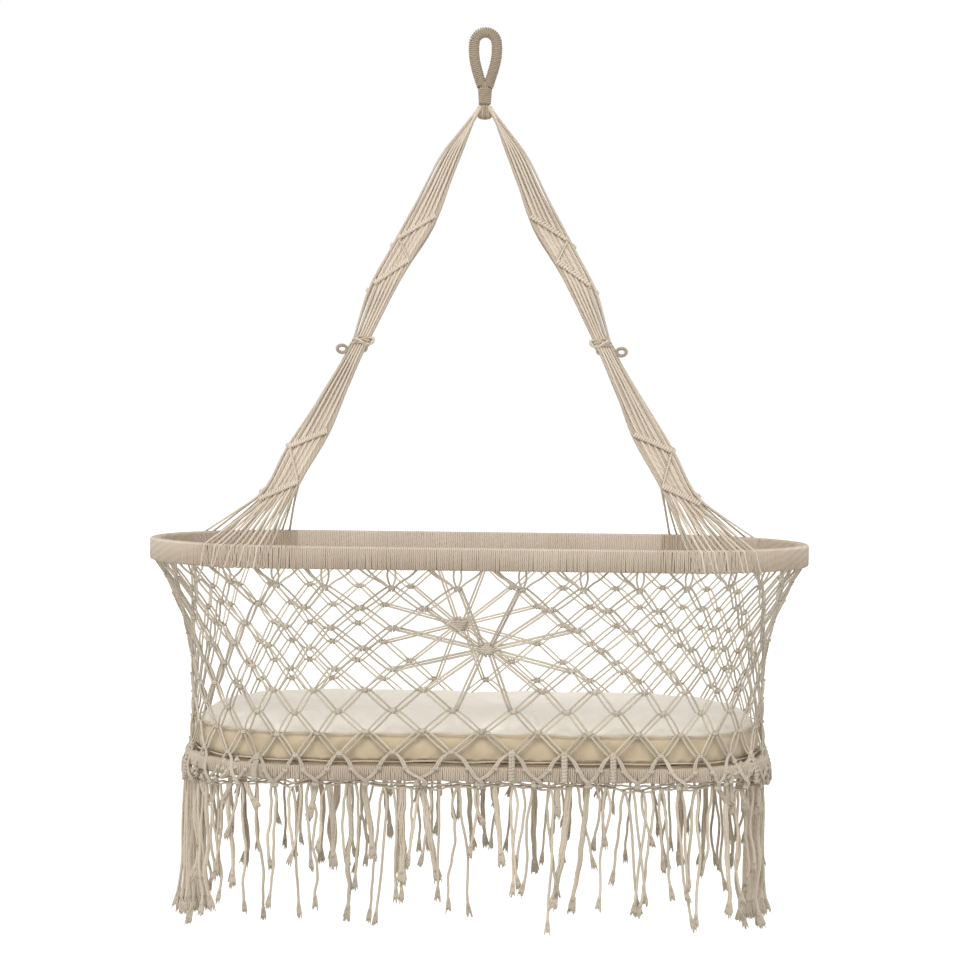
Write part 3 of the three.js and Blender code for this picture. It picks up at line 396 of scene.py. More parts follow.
@dataclass(frozen=True)
class CottonFinish:
    """Undyed cotton cord: three strands laid round each other, with soft fibres, uneven tone and painted shade in
    the grooves between the strands.
    """

    name: str
    light: Colour
    dark: Colour
    depth: float = 0.0005
    strands: float = 3.0
    clouds_per_metre: float = 16
    fibres_per_metre: float = 1500
    tone_share: float = 0.5
    groove_shade_share: float = 0.3
    cloud_share: float = 0.4
    fibre_share: float = 0.3
    shade_offset: float = 0.3

    def material(self) -> bpy.types.Material:
        """Makes the material.

        Returns:
            The material.
        """
        maker = ShaderMaker(self.name + "_finish")
        around, along, _ = maker.parts(maker.node("ShaderNodeUVMap", {"uv_map": "lay"}).outputs[0])
        strand = ((around * self.strands + along) * math.pi).sine().size()
        fibre = maker.noise(self.fibres_per_metre, 3)
        # The lay wave darkens the colour in the grooves between the strands: painted shade
        share = maker.mark("tone") * self.tone_share + strand * self.groove_shade_share
        share = share + maker.noise(self.clouds_per_metre) * self.cloud_share + fibre * self.fibre_share
        colour = maker.blend((share - self.shade_offset).held(), self.dark, self.light)
        maker.bump(strand + fibre * 0.5, self.depth, 0.7)
        rough = 1.0 - strand * 0.12
        return maker.settle(Base_Color=colour, Roughness=rough, Sheen_Weight=0.25, Specular_IOR_Level=0.2)


@dataclass(frozen=True)
class ClothFinish:
    """Plain woven cotton cloth, with painted shade in a darker band round the sides."""

    name: str
    top: Colour
    side: Colour
    threads: float = 1100.0
    clouds_per_metre: float = 9
    slubs_per_metre: float = 700
    fluff_per_metre: float = 400
    depth: float = 0.0004

    def material(self) -> bpy.types.Material:
        """Makes the material.

        Returns:
            The material.
        """
        maker = ShaderMaker(self.name + "_finish")
        x, y, z = maker.parts(maker.place())
        turn = math.pi * self.threads
        weave = ((x + z) * turn).sine() * ((y + z) * turn).sine()
        side_shade = maker.mark("side")
        cloud = maker.noise(self.clouds_per_metre)
        shade = (side_shade + (cloud - 0.5) * 0.25 * side_shade).held()
        # Below the upper edge the top colour gives way to the darker side colour: painted shade
        plain = maker.blend(shade, self.top, self.side)
        slubs = maker.noise(self.slubs_per_metre, 3)
        colour = maker.blend((slubs * 0.22 + cloud * 0.12).held(), plain, self.side)
        maker.bump(weave * 0.5 + maker.noise(self.fluff_per_metre, 3) * 0.7, self.depth, 0.5)
        rough = 0.85 + cloud * 0.12
        return maker.settle(Base_Color=colour, Roughness=rough, Sheen_Weight=0.3, Specular_IOR_Level=0.2)


@dataclass(frozen=True)
class WoodFinish:
    """Bare wood whose grain runs along X."""

    name: str
    light: Colour
    dark: Colour
    rings: float = 60.0
    pores_per_metre: float = 900
    depth: float = 0.0002

    def material(self) -> bpy.types.Material:
        """Makes the material.

        Returns:
            The material.
        """
        maker = ShaderMaker(self.name + "_finish")
        figure = maker.noise(self.rings, 4, (0.06, 1, 1))
        pores = maker.noise(self.pores_per_metre, 2, (0.04, 1, 1))
        maker.bump(pores + figure * 0.4, self.depth, 0.5)
        colour = maker.blend((figure * 1.1 + pores * 0.3 - 0.2).held(), self.dark, self.light)
        return maker.settle(Base_Color=colour, Roughness=0.55 + pores * 0.2, Specular_IOR_Level=0.3)


class Finish(Enum):
    """The finishes of the cradle, by the slots of its record."""

    LOOP = CottonFinish("loop_cord", (0.56, 0.465, 0.355, 1), (0.23, 0.18, 0.125, 1))
    STRAP = CottonFinish("strap_cord", (0.81, 0.715, 0.595, 1), (0.34, 0.275, 0.21, 1))
    NET = CottonFinish("net_cord", (0.745, 0.665, 0.555, 1), (0.335, 0.29, 0.23, 1))
    WRAP = CottonFinish("wrap_cord", (0.745, 0.655, 0.565, 1), (0.358, 0.285, 0.203, 1), 0.00015)
    FRINGE = CottonFinish("fringe_cord", (0.72, 0.635, 0.515, 1), (0.36, 0.305, 0.235, 1))
    # The mattress cloth's darker side colour is painted shade
    CLOTH = ClothFinish("mattress_cloth", (0.88, 0.845, 0.78, 1), (0.56, 0.465, 0.325, 1))
    CANE = WoodFinish("cane_hoop", (0.50, 0.37, 0.24, 1), (0.30, 0.21, 0.12, 1))
    PLYWOOD = WoodFinish("plywood", (0.55, 0.44, 0.31, 1), (0.40, 0.30, 0.19, 1), 30.0)

    def made(self) -> bpy.types.Material:
        """Returns the material, made at its first use."""
        return bpy.data.materials.get(self.value.name + "_finish") or self.value.material()


# Pieces


def added(name: str, data: bpy.types.ID) -> bpy.types.Object:
    """Adds an object to the scene.

    Args:
        name: Its name.
        data: Its mesh, lamp or camera.

    Returns:
        The object.
    """
    made = bpy.data.objects.new(name, data)
    bpy.context.scene.collection.objects.link(made)
    return made


def deliver(piece: bpy.types.Object, body: Body, finish: Finish, *nodes: str) -> None:
    """Dresses a piece, fixes it to its body and puts it in the place of construction nodes.

    Args:
        piece: The finished piece.
        body: The body that it moves with.
        finish: Its finish, which names its slot too.
        nodes: Construction nodes that it stands for.
    """
    piece.data.materials.clear()
    piece.data.materials.append(finish.made())
    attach(piece, body.value)
    if nodes:
        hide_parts(*nodes)
    stands_for = ", ".join(nodes) or "itself"
    log.info("%s: %d faces on %s, for %s", piece.name, len(piece.data.polygons), body.value, stands_for)


def coordinates(piece: bpy.types.Object) -> Array:
    """Reads the points of a mesh.

    Args:
        piece: The piece that has the mesh.

    Returns:
        The points (n, 3).
    """
    points = np.empty(len(piece.data.vertices) * 3)
    piece.data.vertices.foreach_get("co", points)
    return points.reshape(-1, 3)


def place(piece: bpy.types.Object, points: Array) -> None:
    """Moves the points of a mesh."""
    piece.data.vertices.foreach_set("co", points.astype(np.float32).ravel())
    piece.data.update()


def select_only(piece: bpy.types.Object) -> None:
    """Selects one piece and makes it the active one.

    Args:
        piece: The piece.
    """
    for other in bpy.context.view_layer.objects:
        other.select_set(False)
    piece.select_set(True)
    bpy.context.view_layer.objects.active = piece


class CordMesh:
    """Cords swept along their paths into one mesh, each with its lay in a UV map and its own tone."""

    lay_length = 6.5  # of one strand's turn, in radii of the cord
    tone_salt, lay_salt = 7, 9

    def __init__(self, name: str) -> None:
        """Starts an empty bundle of cords.

        Args:
            name: Name of the piece.
        """
        self.name = name
        self.points: list[Array] = []
        self.corners: list[Array] = []
        self.sizes: list[Array] = []
        self.places: list[Array] = []
        self.tones: list[Array] = []
        self.count = 0
        self.cords = 0

    def lay(self, paths: Array, radius: Any, sides: int = 6, closed: bool = False, tone: Any = None) -> None:
        """Adds cords.

        Args:
            paths: Points of one cord (K, 3) or of several (M, K, 3).
            radius: Radius of the cords, one number or numbers that fit (M, K).
            sides: Faces round a cord.
            closed: Whether each cord joins its own start.
            tone: Tones from 0 to 1, of all cords, of each (M,) or of each point (M, K), or None for mixed ones.
        """
        paths = paths if paths.ndim == 3 else paths[None]
        count, steps, _ = paths.shape
        ahead = np.roll(paths, -1, 1) - np.roll(paths, 1, 1) if closed else np.gradient(paths, axis=1)
        ahead = unit(ahead)
        helper = np.where(np.abs(ahead[:, 0, 2:]) < 0.9, UP, UP[::-1])
        last = np.cross(ahead[:, 0], helper)
        side = np.empty_like(paths)
        for step in range(steps):
            last = unit(last - (last * ahead[:, step]).sum(-1, keepdims=True) * ahead[:, step])
            side[:, step] = last
        rise = np.cross(ahead, side)
        angle = (2 * math.pi * np.arange(sides) / sides)[:, None]
        ring = side[:, :, None] * np.cos(angle) + rise[:, :, None] * np.sin(angle)
        thick = np.broadcast_to(np.asarray(radius, float), (count, steps))
        self.points.append((paths[:, :, None] + ring * thick[:, :, None, None]).reshape(-1, 3))
        gaps = np.linalg.norm(np.roll(paths, -1, 1) - paths, axis=-1)
        run = np.concatenate([np.zeros((count, 1)), np.cumsum(gaps, 1)], 1)
        run = run / (self.lay_length * thick.mean(1, keepdims=True))
        run = run + chance(np.arange(count), self.lay_salt)[:, None]
        self._face(count, steps, sides, closed, run)
        own = chance(self.cords + np.arange(count), self.tone_salt) if tone is None else tone
        tones = np.asarray(own, float)
        tones = tones[:, None] if tones.ndim == 1 else tones
        self.tones.append(np.repeat(np.broadcast_to(tones, (count, steps)).ravel(), sides))
        self.count += count * steps * sides
        self.cords += count

    def _face(self, count: int, steps: int, sides: int, closed: bool, run: Array) -> None:
        """Adds the faces of cords, four-sided along them and one at each open end.

        Args:
            count: How many cords there are.
            steps: Points of each path.
            sides: Faces round a cord.
            closed: Whether each cord joins its own start.
            run: Place along the lay at each point, and at the first point once more.
        """
        spans = steps if closed else steps - 1
        step, corner = np.arange(spans)[:, None], np.arange(sides)[None]
        after, beside = (step + 1) % steps * sides, (corner + 1) % sides
        here = step * sides
        quads = np.stack([here + corner, here + beside, after + beside, after + corner], -1)
        base = self.count + np.arange(count) * steps * sides
        self.corners.append((quads[None] + base[:, None, None, None]).ravel())
        self.sizes.append(np.full(count * spans * sides, 4))
        around = np.stack([corner, corner + 1, corner + 1, corner], -1) / sides
        along = np.stack([run[:, :spans]] * 2 + [run[:, 1 : spans + 1]] * 2, -1)[:, :, None]
        self.places.append(np.stack(np.broadcast_arrays(around, along), -1).reshape(-1, 2))
        if not closed:
            ends = np.stack([np.arange(sides)[::-1], (steps - 1) * sides + np.arange(sides)])
            self.corners.append((ends[None] + base[:, None, None]).ravel())
            self.sizes.append(np.full(2 * count, sides))
            self.places.append(np.zeros((2 * count * sides, 2)))

    def deliver(self, body: Body, finish: Finish, *nodes: str) -> None:
        """Makes the piece of all cords that were laid and delivers it.

        Args:
            body: The body that it moves with.
            finish: Its finish.
            nodes: Construction nodes that it stands for.
        """
        points, corners, sizes = (np.concatenate(part) for part in (self.points, self.corners, self.sizes))
        mesh = bpy.data.meshes.new(self.name)
        mesh.vertices.add(len(points))
        mesh.vertices.foreach_set("co", points.astype(np.float32).ravel())
        mesh.loops.add(len(corners))
        mesh.loops.foreach_set("vertex_index", corners.astype(np.int32))
        mesh.polygons.add(len(sizes))
        mesh.polygons.foreach_set("loop_start", (np.cumsum(sizes) - sizes).astype(np.int32))
        mesh.polygons.foreach_set("use_smooth", sizes == 4)
        layer = mesh.uv_layers.new(name="lay")
        layer.uv.foreach_set("vector", np.concatenate(self.places).astype(np.float32).ravel())
        tone = mesh.attributes.new("tone", "FLOAT", "POINT")
        tone.data.foreach_set("value", np.concatenate(self.tones).astype(np.float32))
        mesh.update(calc_edges=True)
        mesh.validate()
        deliver(added(self.name, mesh), body, finish, *nodes)


# Sub-assemblies


@dataclass
class HangingLoop:
    """The wound loop for the hook, the whipping of its neck and the knot below it."""

    eye_half: float = 0.01545
    eye_low: float = -0.0251
    arc_height: float = -0.010
    shoulder_half: float = 0.0084
    shoulder_height: float = -0.0555
    neck_half: float = 0.0034
    neck_top: float = -0.0700
    neck_end: float = -0.0948
    neck_cord: float = 0.0015
    core: float = 0.0014
    core_reach: float = 0.0029
    winding: float = 0.00135
    winding_reach: float = 0.0062
    winding_play: float = 0.0003
    turns: int = 66
    whipping: float = 0.00145
    whipping_turns: float = 8.5
    whipping_reaches: tuple[float, float] = (0.0086, 0.0071)
    whipping_ends: tuple[float, float] = (-0.0012, 0.0022)
    knot_height: float = -0.0985
    knot_cord: float = 0.0016

    # Reach and height of the knot's cords, down the bell and in under it, and thickness and height of its filling
    bell = np.array([
        [0.0030, 0.0040], [0.0054, 0.0026], [0.0060, -0.0020], [0.0070, -0.0072],
        [0.0078, -0.0115], [0.0058, -0.0128], [0.0026, -0.0128],
    ])
    filling = np.array([[0.003, 0.0040], [0.0050, 0.001], [0.0056, -0.003], [0.0068, -0.008], [0.0066, -0.0128]])

    def path(self) -> Array:
        """Draws the middle line of the loop, from its left end to its right end.

        Returns:
            The points of the line.
        """
        reaches = (self.neck_half, self.shoulder_half, self.eye_half)
        heights = (self.neck_top, self.shoulder_height, self.eye_low)
        leg = np.array([[-reach, 0, height] for reach, height in zip(reaches, heights)])
        angle = np.linspace(math.pi, 0, 11)
        rise = self.arc_height + self.eye_half * np.sin(angle)
        arc = np.stack([self.eye_half * np.cos(angle), 0 * angle, rise], 1)
        return smooth(np.concatenate([leg, arc, leg[::-1] * [-1, 1, 1]]), 6)

    def frames(self, line: Array) -> Array:
        """Returns the direction out of the loop at each point of a line along it."""
        ahead = unit(np.gradient(line, axis=0))
        return np.stack([-ahead[:, 2], 0 * ahead[:, 0], ahead[:, 0]], 1)

    def bundle(self) -> CordMesh:
        """Lays the bundle of cords in the middle of the loop, one within six, down into its neck.

        Returns:
            The cords of the bundle.
        """
        cords = CordMesh("loop_bundle")
        line = evenly(self.path(), 70)
        out = self.frames(line)
        for turn in range(7):
            reach = self.core_reach if turn else 0.0
            angle = turn * math.pi / 3
            cords.lay(line + out * reach * math.cos(angle) + ACROSS * reach * math.sin(angle), self.core)
        reaches = (0.0052, 0.0062, 0.0057, 0.0049)
        middle = mixed(self.neck_top, self.neck_end, 0.5)
        heights = (self.neck_top + 0.006, self.neck_top, middle, self.neck_end + 0.0012)
        cords.lay(smooth(revolved(np.array([reaches, heights]).T, 12), 4), self.neck_cord)
        return cords

    def wound(self) -> CordMesh:
        """Winds the thin cord round the bundle, close turn beside close turn.

        Returns:
            The winding.
        """
        cords = CordMesh("loop_winding")
        steps = 12
        count = self.turns * steps + 1
        line = evenly(self.path(), count, 0.012, 0.988)
        turn = np.floor(np.arange(count) / steps)
        reach = (self.winding_reach + self.winding_play * (chance(turn, 5) - 0.5))[:, None]
        cords.lay(coil(line, self.frames(line) * reach, ACROSS * reach, self.turns), self.winding, tone=0.5)
        return cords

    def whipped(self) -> CordMesh:
        """Winds the whipping round the neck, narrower towards the knot.

        Returns:
            The whipping.
        """
        cords = CordMesh("neck_whipping_cord")
        share = np.linspace(0, 1, int(self.whipping_turns * 16))[:, None]
        above, below = self.whipping_ends
        height = mixed(self.neck_top + above, self.neck_end + below, share)
        reach = mixed(*self.whipping_reaches, share)
        centres = np.concatenate([0 * share, 0 * share, height], 1)
        cords.lay(coil(centres, ALONG * reach, ACROSS * reach, self.whipping_turns), self.whipping, tone=0.6)
        return cords

    def cup(self) -> CordMesh:
        """Lays the cup-shaped knot: cords that run down a bell and turn in under it.

        Returns:
            The cords of the knot.
        """
        cords = CordMesh("swing_knot_cords")
        cords.lay(smooth(revolved(self.bell + [0, self.knot_height], 16), 4), self.knot_cord)
        thick, rise = self.filling.T
        cords.lay((self.knot_height + rise)[:, None] * UP, thick, 12)
        return cords

    def build(self) -> None:
        """Makes the pieces of the loop."""
        self.bundle().deliver(Body.LOOP, Finish.LOOP, "hanging_loop_core")
        self.wound().deliver(Body.LOOP, Finish.LOOP, "hanging_loop_winding")
        self.whipped().deliver(Body.LOOP, Finish.LOOP, "neck_whipping")
        self.cup().deliver(Body.KNOT, Finish.LOOP, "neck_knot")


@dataclass
class WoundHoop:
    """A hoop wound all round with cord, in stretches."""

    radius: float
    top: float
    height: float
    # Strength of the painted highlight along the upper outer edge
    painted_highlight: float = 0.0
    pitch: float = 0.00265
    thickness: float = 0.014
    cord: float = 0.00142
    bend: float = 0.0036
    stray: float = 0.0024
    proud: float = 0.0012
    foot_shift: float = 0.0026
    # Depth of the painted shade along the lower outer edge of some turns
    edge_shade_share: float = 0.22

    # One turn's twelve places run from the lower outer corner upwards and round; these are their shares of the
    # shift of a crooked foot, of the painted highlight along the upper outer edge and of the painted shade along
    # the lower outer edge
    places = 12
    foot = np.array([1, 1, 0.5, 0, 0, 0, 0, 0, 0, 0, 0, 1])
    highlight_shares = np.array([0, 0, 0, 0.45, 1, 0.35, 0, 0, 0, 0, 0, 0])
    edge_shade_shares = np.array([0.5, 1, 0.7, 0, 0, 0, 0, 0, 0, 0, 0, 0])

    @property
    def middle(self) -> float:
        """Returns the height of the middle of the band."""
        return self.top - self.height / 2

    def section(self, proud: float) -> Array:
        """Finds the places of one turn round the band.

        Args:
            proud: How far the places lie outside the band.

        Returns:
            The places as (outward, upward) from the middle of the band.
        """
        places = []
        for side, up, start in ((1, -1, -75), (1, 1, 15), (-1, 1, 105), (-1, -1, 195)):
            for step in (0, 30, 60):
                angle = math.radians(start + step)
                reach = self.bend + proud
                out = side * (self.thickness / 2 - self.bend) + reach * math.cos(angle)
                places.append([out, up * (self.height / 2 - self.bend) + reach * math.sin(angle)])
        return np.array(places)

    def winding(self, start: float, end: float, wild: float) -> Array:
        """Draws the path of the cord wound over one stretch.

        Args:
            start: Where the stretch starts, along the middle radius.
            end: Where it ends.
            wild: How unevenly the turns lie, from 0 to 1.

        Returns:
            The points of the path.
        """
        turns = max(3, round((end - start) / self.pitch))
        seeds = np.arange(turns) + round(start * 1000)
        steps = 1 + 0.06 * (chance(seeds, 1) - 0.5)
        starts = start + (end - start) * np.concatenate([[0], np.cumsum(steps)[:-1]]) / steps.sum()
        widths = (end - start) * steps / steps.sum()
        section = self.section(-self.cord)
        step = np.arange(self.places)
        along = starts[:, None] + widths[:, None] * step / self.places
        spots = seeds[:, None] * self.places + step
        along = along + self.foot * self.foot_shift * np.maximum(0, chance(seeds, 2) - 0.7)[:, None] * 2
        along = along + wild * self.stray * (chance(spots, 5) - 0.5)
        beyond = section[:, 0] * (1 + 0.03 * (chance(seeds, 3) - 0.5))[:, None]
        beyond = beyond + wild * self.proud * (chance(spots, 6) - 0.5)
        heights = self.middle + section[:, 1] * (1 + 0.01 * (chance(seeds, 4) - 0.5))[:, None]
        return PLAN.at(self.radius, along.ravel(), heights.ravel(), beyond.ravel())

    def wind(self, node: str, start: float, end: float, tone: float, wild: float = 0.0) -> None:
        """Makes the wound stretch in place of a node.

        Args:
            node: The construction node.
            start: Where the stretch starts, along the middle radius.
            end: Where it ends.
            tone: Its tone, from 0 to 1.
            wild: How unevenly the turns lie, from 0 to 1.
        """
        cords = CordMesh(node + "_cord")
        path = self.winding(start, end, wild)
        turns = len(path) // self.places
        # Painted highlight along the upper outer edge, weaker where the turns lie unevenly
        painted_highlight = self.highlight_shares * (1 - wild) * self.painted_highlight
        # Painted shade along the lower outer edge of some turns, picked at random
        edge_shade = self.edge_shade_shares * (chance(np.arange(turns), 8) > 0.55)[:, None] * self.edge_shade_share
        cords.lay(path, self.cord, tone=np.clip(tone + painted_highlight * (1 - tone) - edge_shade, 0, 1).reshape(1, -1))
        cords.deliver(Body.CRADLE, Finish.WRAP, node)


@dataclass
class Strap:
    """One of the four fans of cords between the neck knot and the rim."""

    name: str
    side: int
    face: int
    rim: WoundHoop
    cords: int = 12
    cord: float = 0.0016
    layer: float = 0.0017
    fall: float = 0.5895
    knot_height: float = -0.0985
    head: tuple[float, float, float] = (0.0062, 0.0026, 0.0012)
    head_reach: float = 0.0026
    stray: float = 0.001
    gather_fall: float = 0.554
    gather_share: float = 0.5213
    gather_width: float = 0.0185
    gather_half: float = 0.009
    gather_cord: float = 0.0019
    cross_cord: float = 0.0017
    rib_bow: float = 0.0015
    picot_out: float = 0.0125
    picot_reaches: tuple[float, float] = (0.0078, 0.0052)
    picot_cord: float = 0.0010
    picot_core: float = 0.0013

    # Fall and X of the fan's inner and outer edge, as shares of the whole fall and of its span on the rim
    stations = {
        "bundle": ((0.096, 0.1065), (0.096, 0.139)),
        "upper_rib": ((0.264, 0.238), (0.316, 0.323)),
        "upper_return": ((0.3687, 0.372), (0.4215, 0.41)),
        "lower_rib": ((0.757, 0.75), (0.7923, 0.708)),
        "lower_return": ((0.8684, 0.886), (0.907, 0.810)),
        "rim": ((1.0, 1.0), (1.0, 1.0)),
    }
    # How far past the start of the rim's bend the inner and outer cord land, as sines, and their X on the rim
    landings = {-1: (0.1697, 0.5642), 1: (0.257, 0.7717)}
    spans = {-1: (0.262, 0.348), 1: (0.296, 0.3932)}
    # Steps of a cord at which its thickness changes, and its thickness there
    marks = np.array([[0, 15, 20, 25, 30, 45, 50, 55, 60, 65], [1, 1.05, 1.28, 1.28, 1, 1, 1.3, 1.3, 1, 1]])
    # Places round the rim that a hitched end touches, and how far along the rim it has shifted by then
    hitch_places = [5, 4, 3, 2, 1, 0, 11, 10]
    hitch_shifts = np.array([0.3, 1.2, 2.4, 9.0, 11.0, 12.0, 12.5, 13.0]) / 1000

    def __post_init__(self) -> None:
        """Works out the plane of the fan."""
        inner, outer = (self.landing(np.array(across)) for across in (0.0, 1.0))
        knot = np.array([0, 0, self.knot_height])
        self.across_axis = unit(outer - inner)
        normal = unit(np.cross(inner - knot, outer - knot))
        self.normal = normal * (1 if normal[1] * self.face > 0 else -1)
        up = np.cross(self.across_axis, self.normal)
        self.up = up * (1 if up[2] > 0 else -1)
        self.slope = (abs(outer[1]) - abs(inner[1])) / (abs(outer[0]) - abs(inner[0]))
        self.deep = abs(inner[1]) - self.slope * abs(inner[0])

    def landing_along(self, across: Array) -> Array:
        """Finds where cords meet the rim.

        Args:
            across: Places in the fan, from its inner edge at 0 to its outer edge at 1.

        Returns:
            The places along the rim's middle radius.
        """
        past = np.arcsin(mixed(*self.landings[self.face], across)) * self.rim.radius
        front = PLAN.straight_half + past
        back = PLAN.straight_half + math.pi * self.rim.radius - past
        return self.side * (front if self.face < 0 else back)

    def landing(self, across: Array) -> Array:
        """Returns where cords meet the top of the rim."""
        return PLAN.at(self.rim.radius, self.landing_along(across), self.rim.top + self.cord)

    def at(self, station: str, across: Any) -> Array:
        """Finds points of the fan.

        Args:
            station: Name of the station, or "gather" for the bound middle.
            across: Places in the fan, from its inner edge at 0 to its outer edge at 1.

        Returns:
            The points.
        """
        inner_x, outer_x = self.spans[self.face]
        across = np.asarray(across, float)
        if station == "gather":
            fall = np.full_like(across, self.gather_fall)
            x = self.gather_share * (inner_x + outer_x) / 2 + self.gather_width * (across - 0.5)
        else:
            (fall_in, x_in), (fall_out, x_out) = self.stations[station]
            fall = mixed(fall_in, fall_out, across)
            x = mixed(x_in * inner_x, x_out * outer_x, across)
        y = self.slope * x + self.deep * fall
        return np.stack([self.side * x, self.face * y, self.knot_height - fall * self.fall], -1)

    def gather(self, across: Any, rise: float) -> Array:
        """Finds points of the bound middle.

        Args:
            across: Places in the fan, from its inner edge at 0 to its outer edge at 1.
            rise: How far above the centre of the bound middle.

        Returns:
            The points.
        """
        centre = self.at("gather", across)
        way = self.at("upper_rib" if rise > 0 else "lower_rib", across) - centre
        return centre + way * (rise / (way @ self.up))[..., None]

    def strayed(self, salt: int, times: float = 1.0) -> Array:
        """Returns how far each cord lies aside of its place, at random."""
        seeds = np.arange(self.cords) + 40 * self.side + 90 * self.face
        return (chance(seeds, salt) - 0.5)[:, None] * (self.stray * times) * self.across_axis

    def fan(self) -> CordMesh:
        """Lays the cords, from the knot through both bands and the bound middle to their hitches on the rim.

        Returns:
            The cords of the fan.
        """
        index = np.arange(self.cords)
        across = index / (self.cords - 1)
        layer = np.where(index % 2 == 0, self.layer, -self.layer)[:, None] * self.normal
        thin = layer * 0.35
        head_x, head_y, head_rise = self.head
        head = np.array([self.side * head_x, self.face * head_y, self.knot_height + head_rise])
        ring = 2 * math.pi * across
        spread = np.cos(ring)[:, None] * self.across_axis + np.sin(ring)[:, None] * self.normal
        start = head + self.head_reach * spread
        bundle = self.at("bundle", across)
        keys = ("upper_rib", "upper_return", "lower_rib", "lower_return")
        upper, upper_end, lower, lower_end = (self.at(key, across) for key in keys)
        gather_top, gather_foot = self.gather(across, self.gather_half), self.gather(across, -self.gather_half)
        landing = self.landing(across)
        rows = [
            start,
            mixed(start, bundle + layer, 0.5),
            bundle + layer + self.strayed(1),
            mixed(bundle, upper, 0.5) + layer + self.strayed(6, 1.6),
            upper + thin,
            upper_end + thin,
            mixed(upper_end, gather_top, 0.5) + layer + self.strayed(2),
            gather_top + layer,
            gather_foot + layer,
            mixed(gather_foot, lower, 0.5) + layer + self.strayed(3, 3),
            lower + thin,
            lower_end + thin,
            mixed(lower_end, landing, 0.5) + layer * 0.6 + self.strayed(5, 4),
            landing,
        ]
        lines = smooth(np.stack(rows, 1), 5)
        steps, shares = self.marks
        thick = np.interp(np.arange(lines.shape[1]), steps, shares * self.cord)
        path = np.concatenate([lines, self.hitches(across)], 1)
        cords = CordMesh(self.name + "_strap")
        cords.lay(path, np.concatenate([thick, np.full(path.shape[1] - len(thick), self.cord * 0.85)]))
        return cords

    def hitches(self, across: Array) -> Array:
        """Lays the ends of the cords slantwise over the outer face of the rim and in under it.

        Args:
            across: Places in the fan, from its inner edge at 0 to its outer edge at 1.

        Returns:
            The points of the ends.
        """
        places = self.rim.section(-self.cord * 0.25)[self.hitch_places]
        spread = 0.6 + 0.8 * chance(np.arange(self.cords) + 7 * self.side, 8)[:, None]
        along = self.landing_along(across)[:, None] - self.side * self.face * self.hitch_shifts * spread
        return PLAN.at(self.rim.radius, along, self.rim.middle + places[:, 1], places[:, 0])

    def rib(self, cords: CordMesh, start: Array, end: Array, turns: float, reach: float, stand: float) -> None:
        """Ties one row of hitches over the fan.

        Args:
            cords: The mesh that takes the row.
            start: First point of the row in the plane of the fan.
            end: Last point of the row.
            turns: Windings over the leading cord.
            reach: Half the height of the row.
            stand: How far its middle stands before the fan.
        """
        line = np.stack([start, end]) + self.normal * stand
        centres = evenly(line, int(turns * 10) + 1)
        bow = np.sin(np.linspace(0, math.pi, len(centres)))[:, None]
        centres = centres + self.up * bow * self.rib_bow
        aside = np.cross(unit(end - start), self.normal)
        # The rows take the lightest tone: a painted highlight on their ridges
        cords.lay(coil(centres, aside * reach, self.normal * reach * 0.8, turns), reach * 0.5, 5, tone=1.0)
        cords.lay(evenly(line, 12), reach * 0.85, tone=1.0)

    def band(self, which: str) -> CordMesh:
        """Ties the two slanted rows of hitches of a band and the finer return between them.

        Args:
            which: The band, upper or lower.

        Returns:
            The cords of the band.
        """
        cords = CordMesh(f"{self.name}_{which}_hitches")
        first, second = (self.at(f"{which}_{row}", np.array([0.0, 1.0])) for row in ("rib", "return"))
        turns = 16 if which == "lower" else 13
        self.rib(cords, first[0], first[1], turns, 0.0028, 0.0038)
        self.rib(cords, second[0], second[1], turns, 0.0028, 0.0038)
        self.rib(cords, first[1], second[0], turns, 0.0014, 0.0030)
        return cords

    def bound(self) -> CordMesh:
        """Ties the square knot that gathers the fan: three turns, two crossing cords and a small loose end.

        Returns:
            The cords of the knot.
        """
        cords = CordMesh(self.name + "_gather")
        half_width, half_face = self.gather_width / 2 + 0.0032, self.layer + self.cord + 0.0012
        rises = np.linspace(0.0062, -0.0062, 73)
        centres = np.stack([self.gather(0.5, rise) for rise in rises])
        one, other = self.across_axis * half_width, self.normal * half_face
        cords.lay(coil(centres, one, other, 3.0, 0.1), self.gather_cord)
        for first, last in ((0, -1), (-1, 0)):
            ends = np.stack([centres[first] - one, centres[36] + other * 1.5, centres[last] + one])
            cords.lay(smooth(ends, 8), self.cross_cord)
        edges = {4: half_width * 0.7, 14: half_width + 0.0045, 44: half_width + 0.0065, 66: half_width * 0.7}
        loose = [centres[spot] - self.across_axis * reach for spot, reach in edges.items()]
        cords.lay(smooth(np.stack(loose) + self.normal * 0.002, 6), 0.0018)
        return cords

    def picot(self) -> CordMesh:
        """Ties the small side loop of the outer cords.

        Returns:
            The cords of the side loop.
        """
        cords = CordMesh(self.name + "_side_loop")
        middle = self.gather(0.5, 0.0) + self.across_axis * (self.gather_width / 2 + self.picot_out)
        angle = np.linspace(0, 2 * math.pi, 241)
        wide, high = self.picot_reaches
        reach = np.stack([np.cos(angle) * wide, np.sin(angle) * high], 1)
        line = middle + reach[:, :1] * self.across_axis + reach[:, 1:] * UP
        out = unit(reach)[:, :1] * self.across_axis + unit(reach)[:, 1:] * UP
        cords.lay(coil(line, out * 0.0016, self.normal * 0.0016, 24), self.picot_cord, 5)
        cords.lay(line[:-1:6], self.picot_core, closed=True)
        return cords

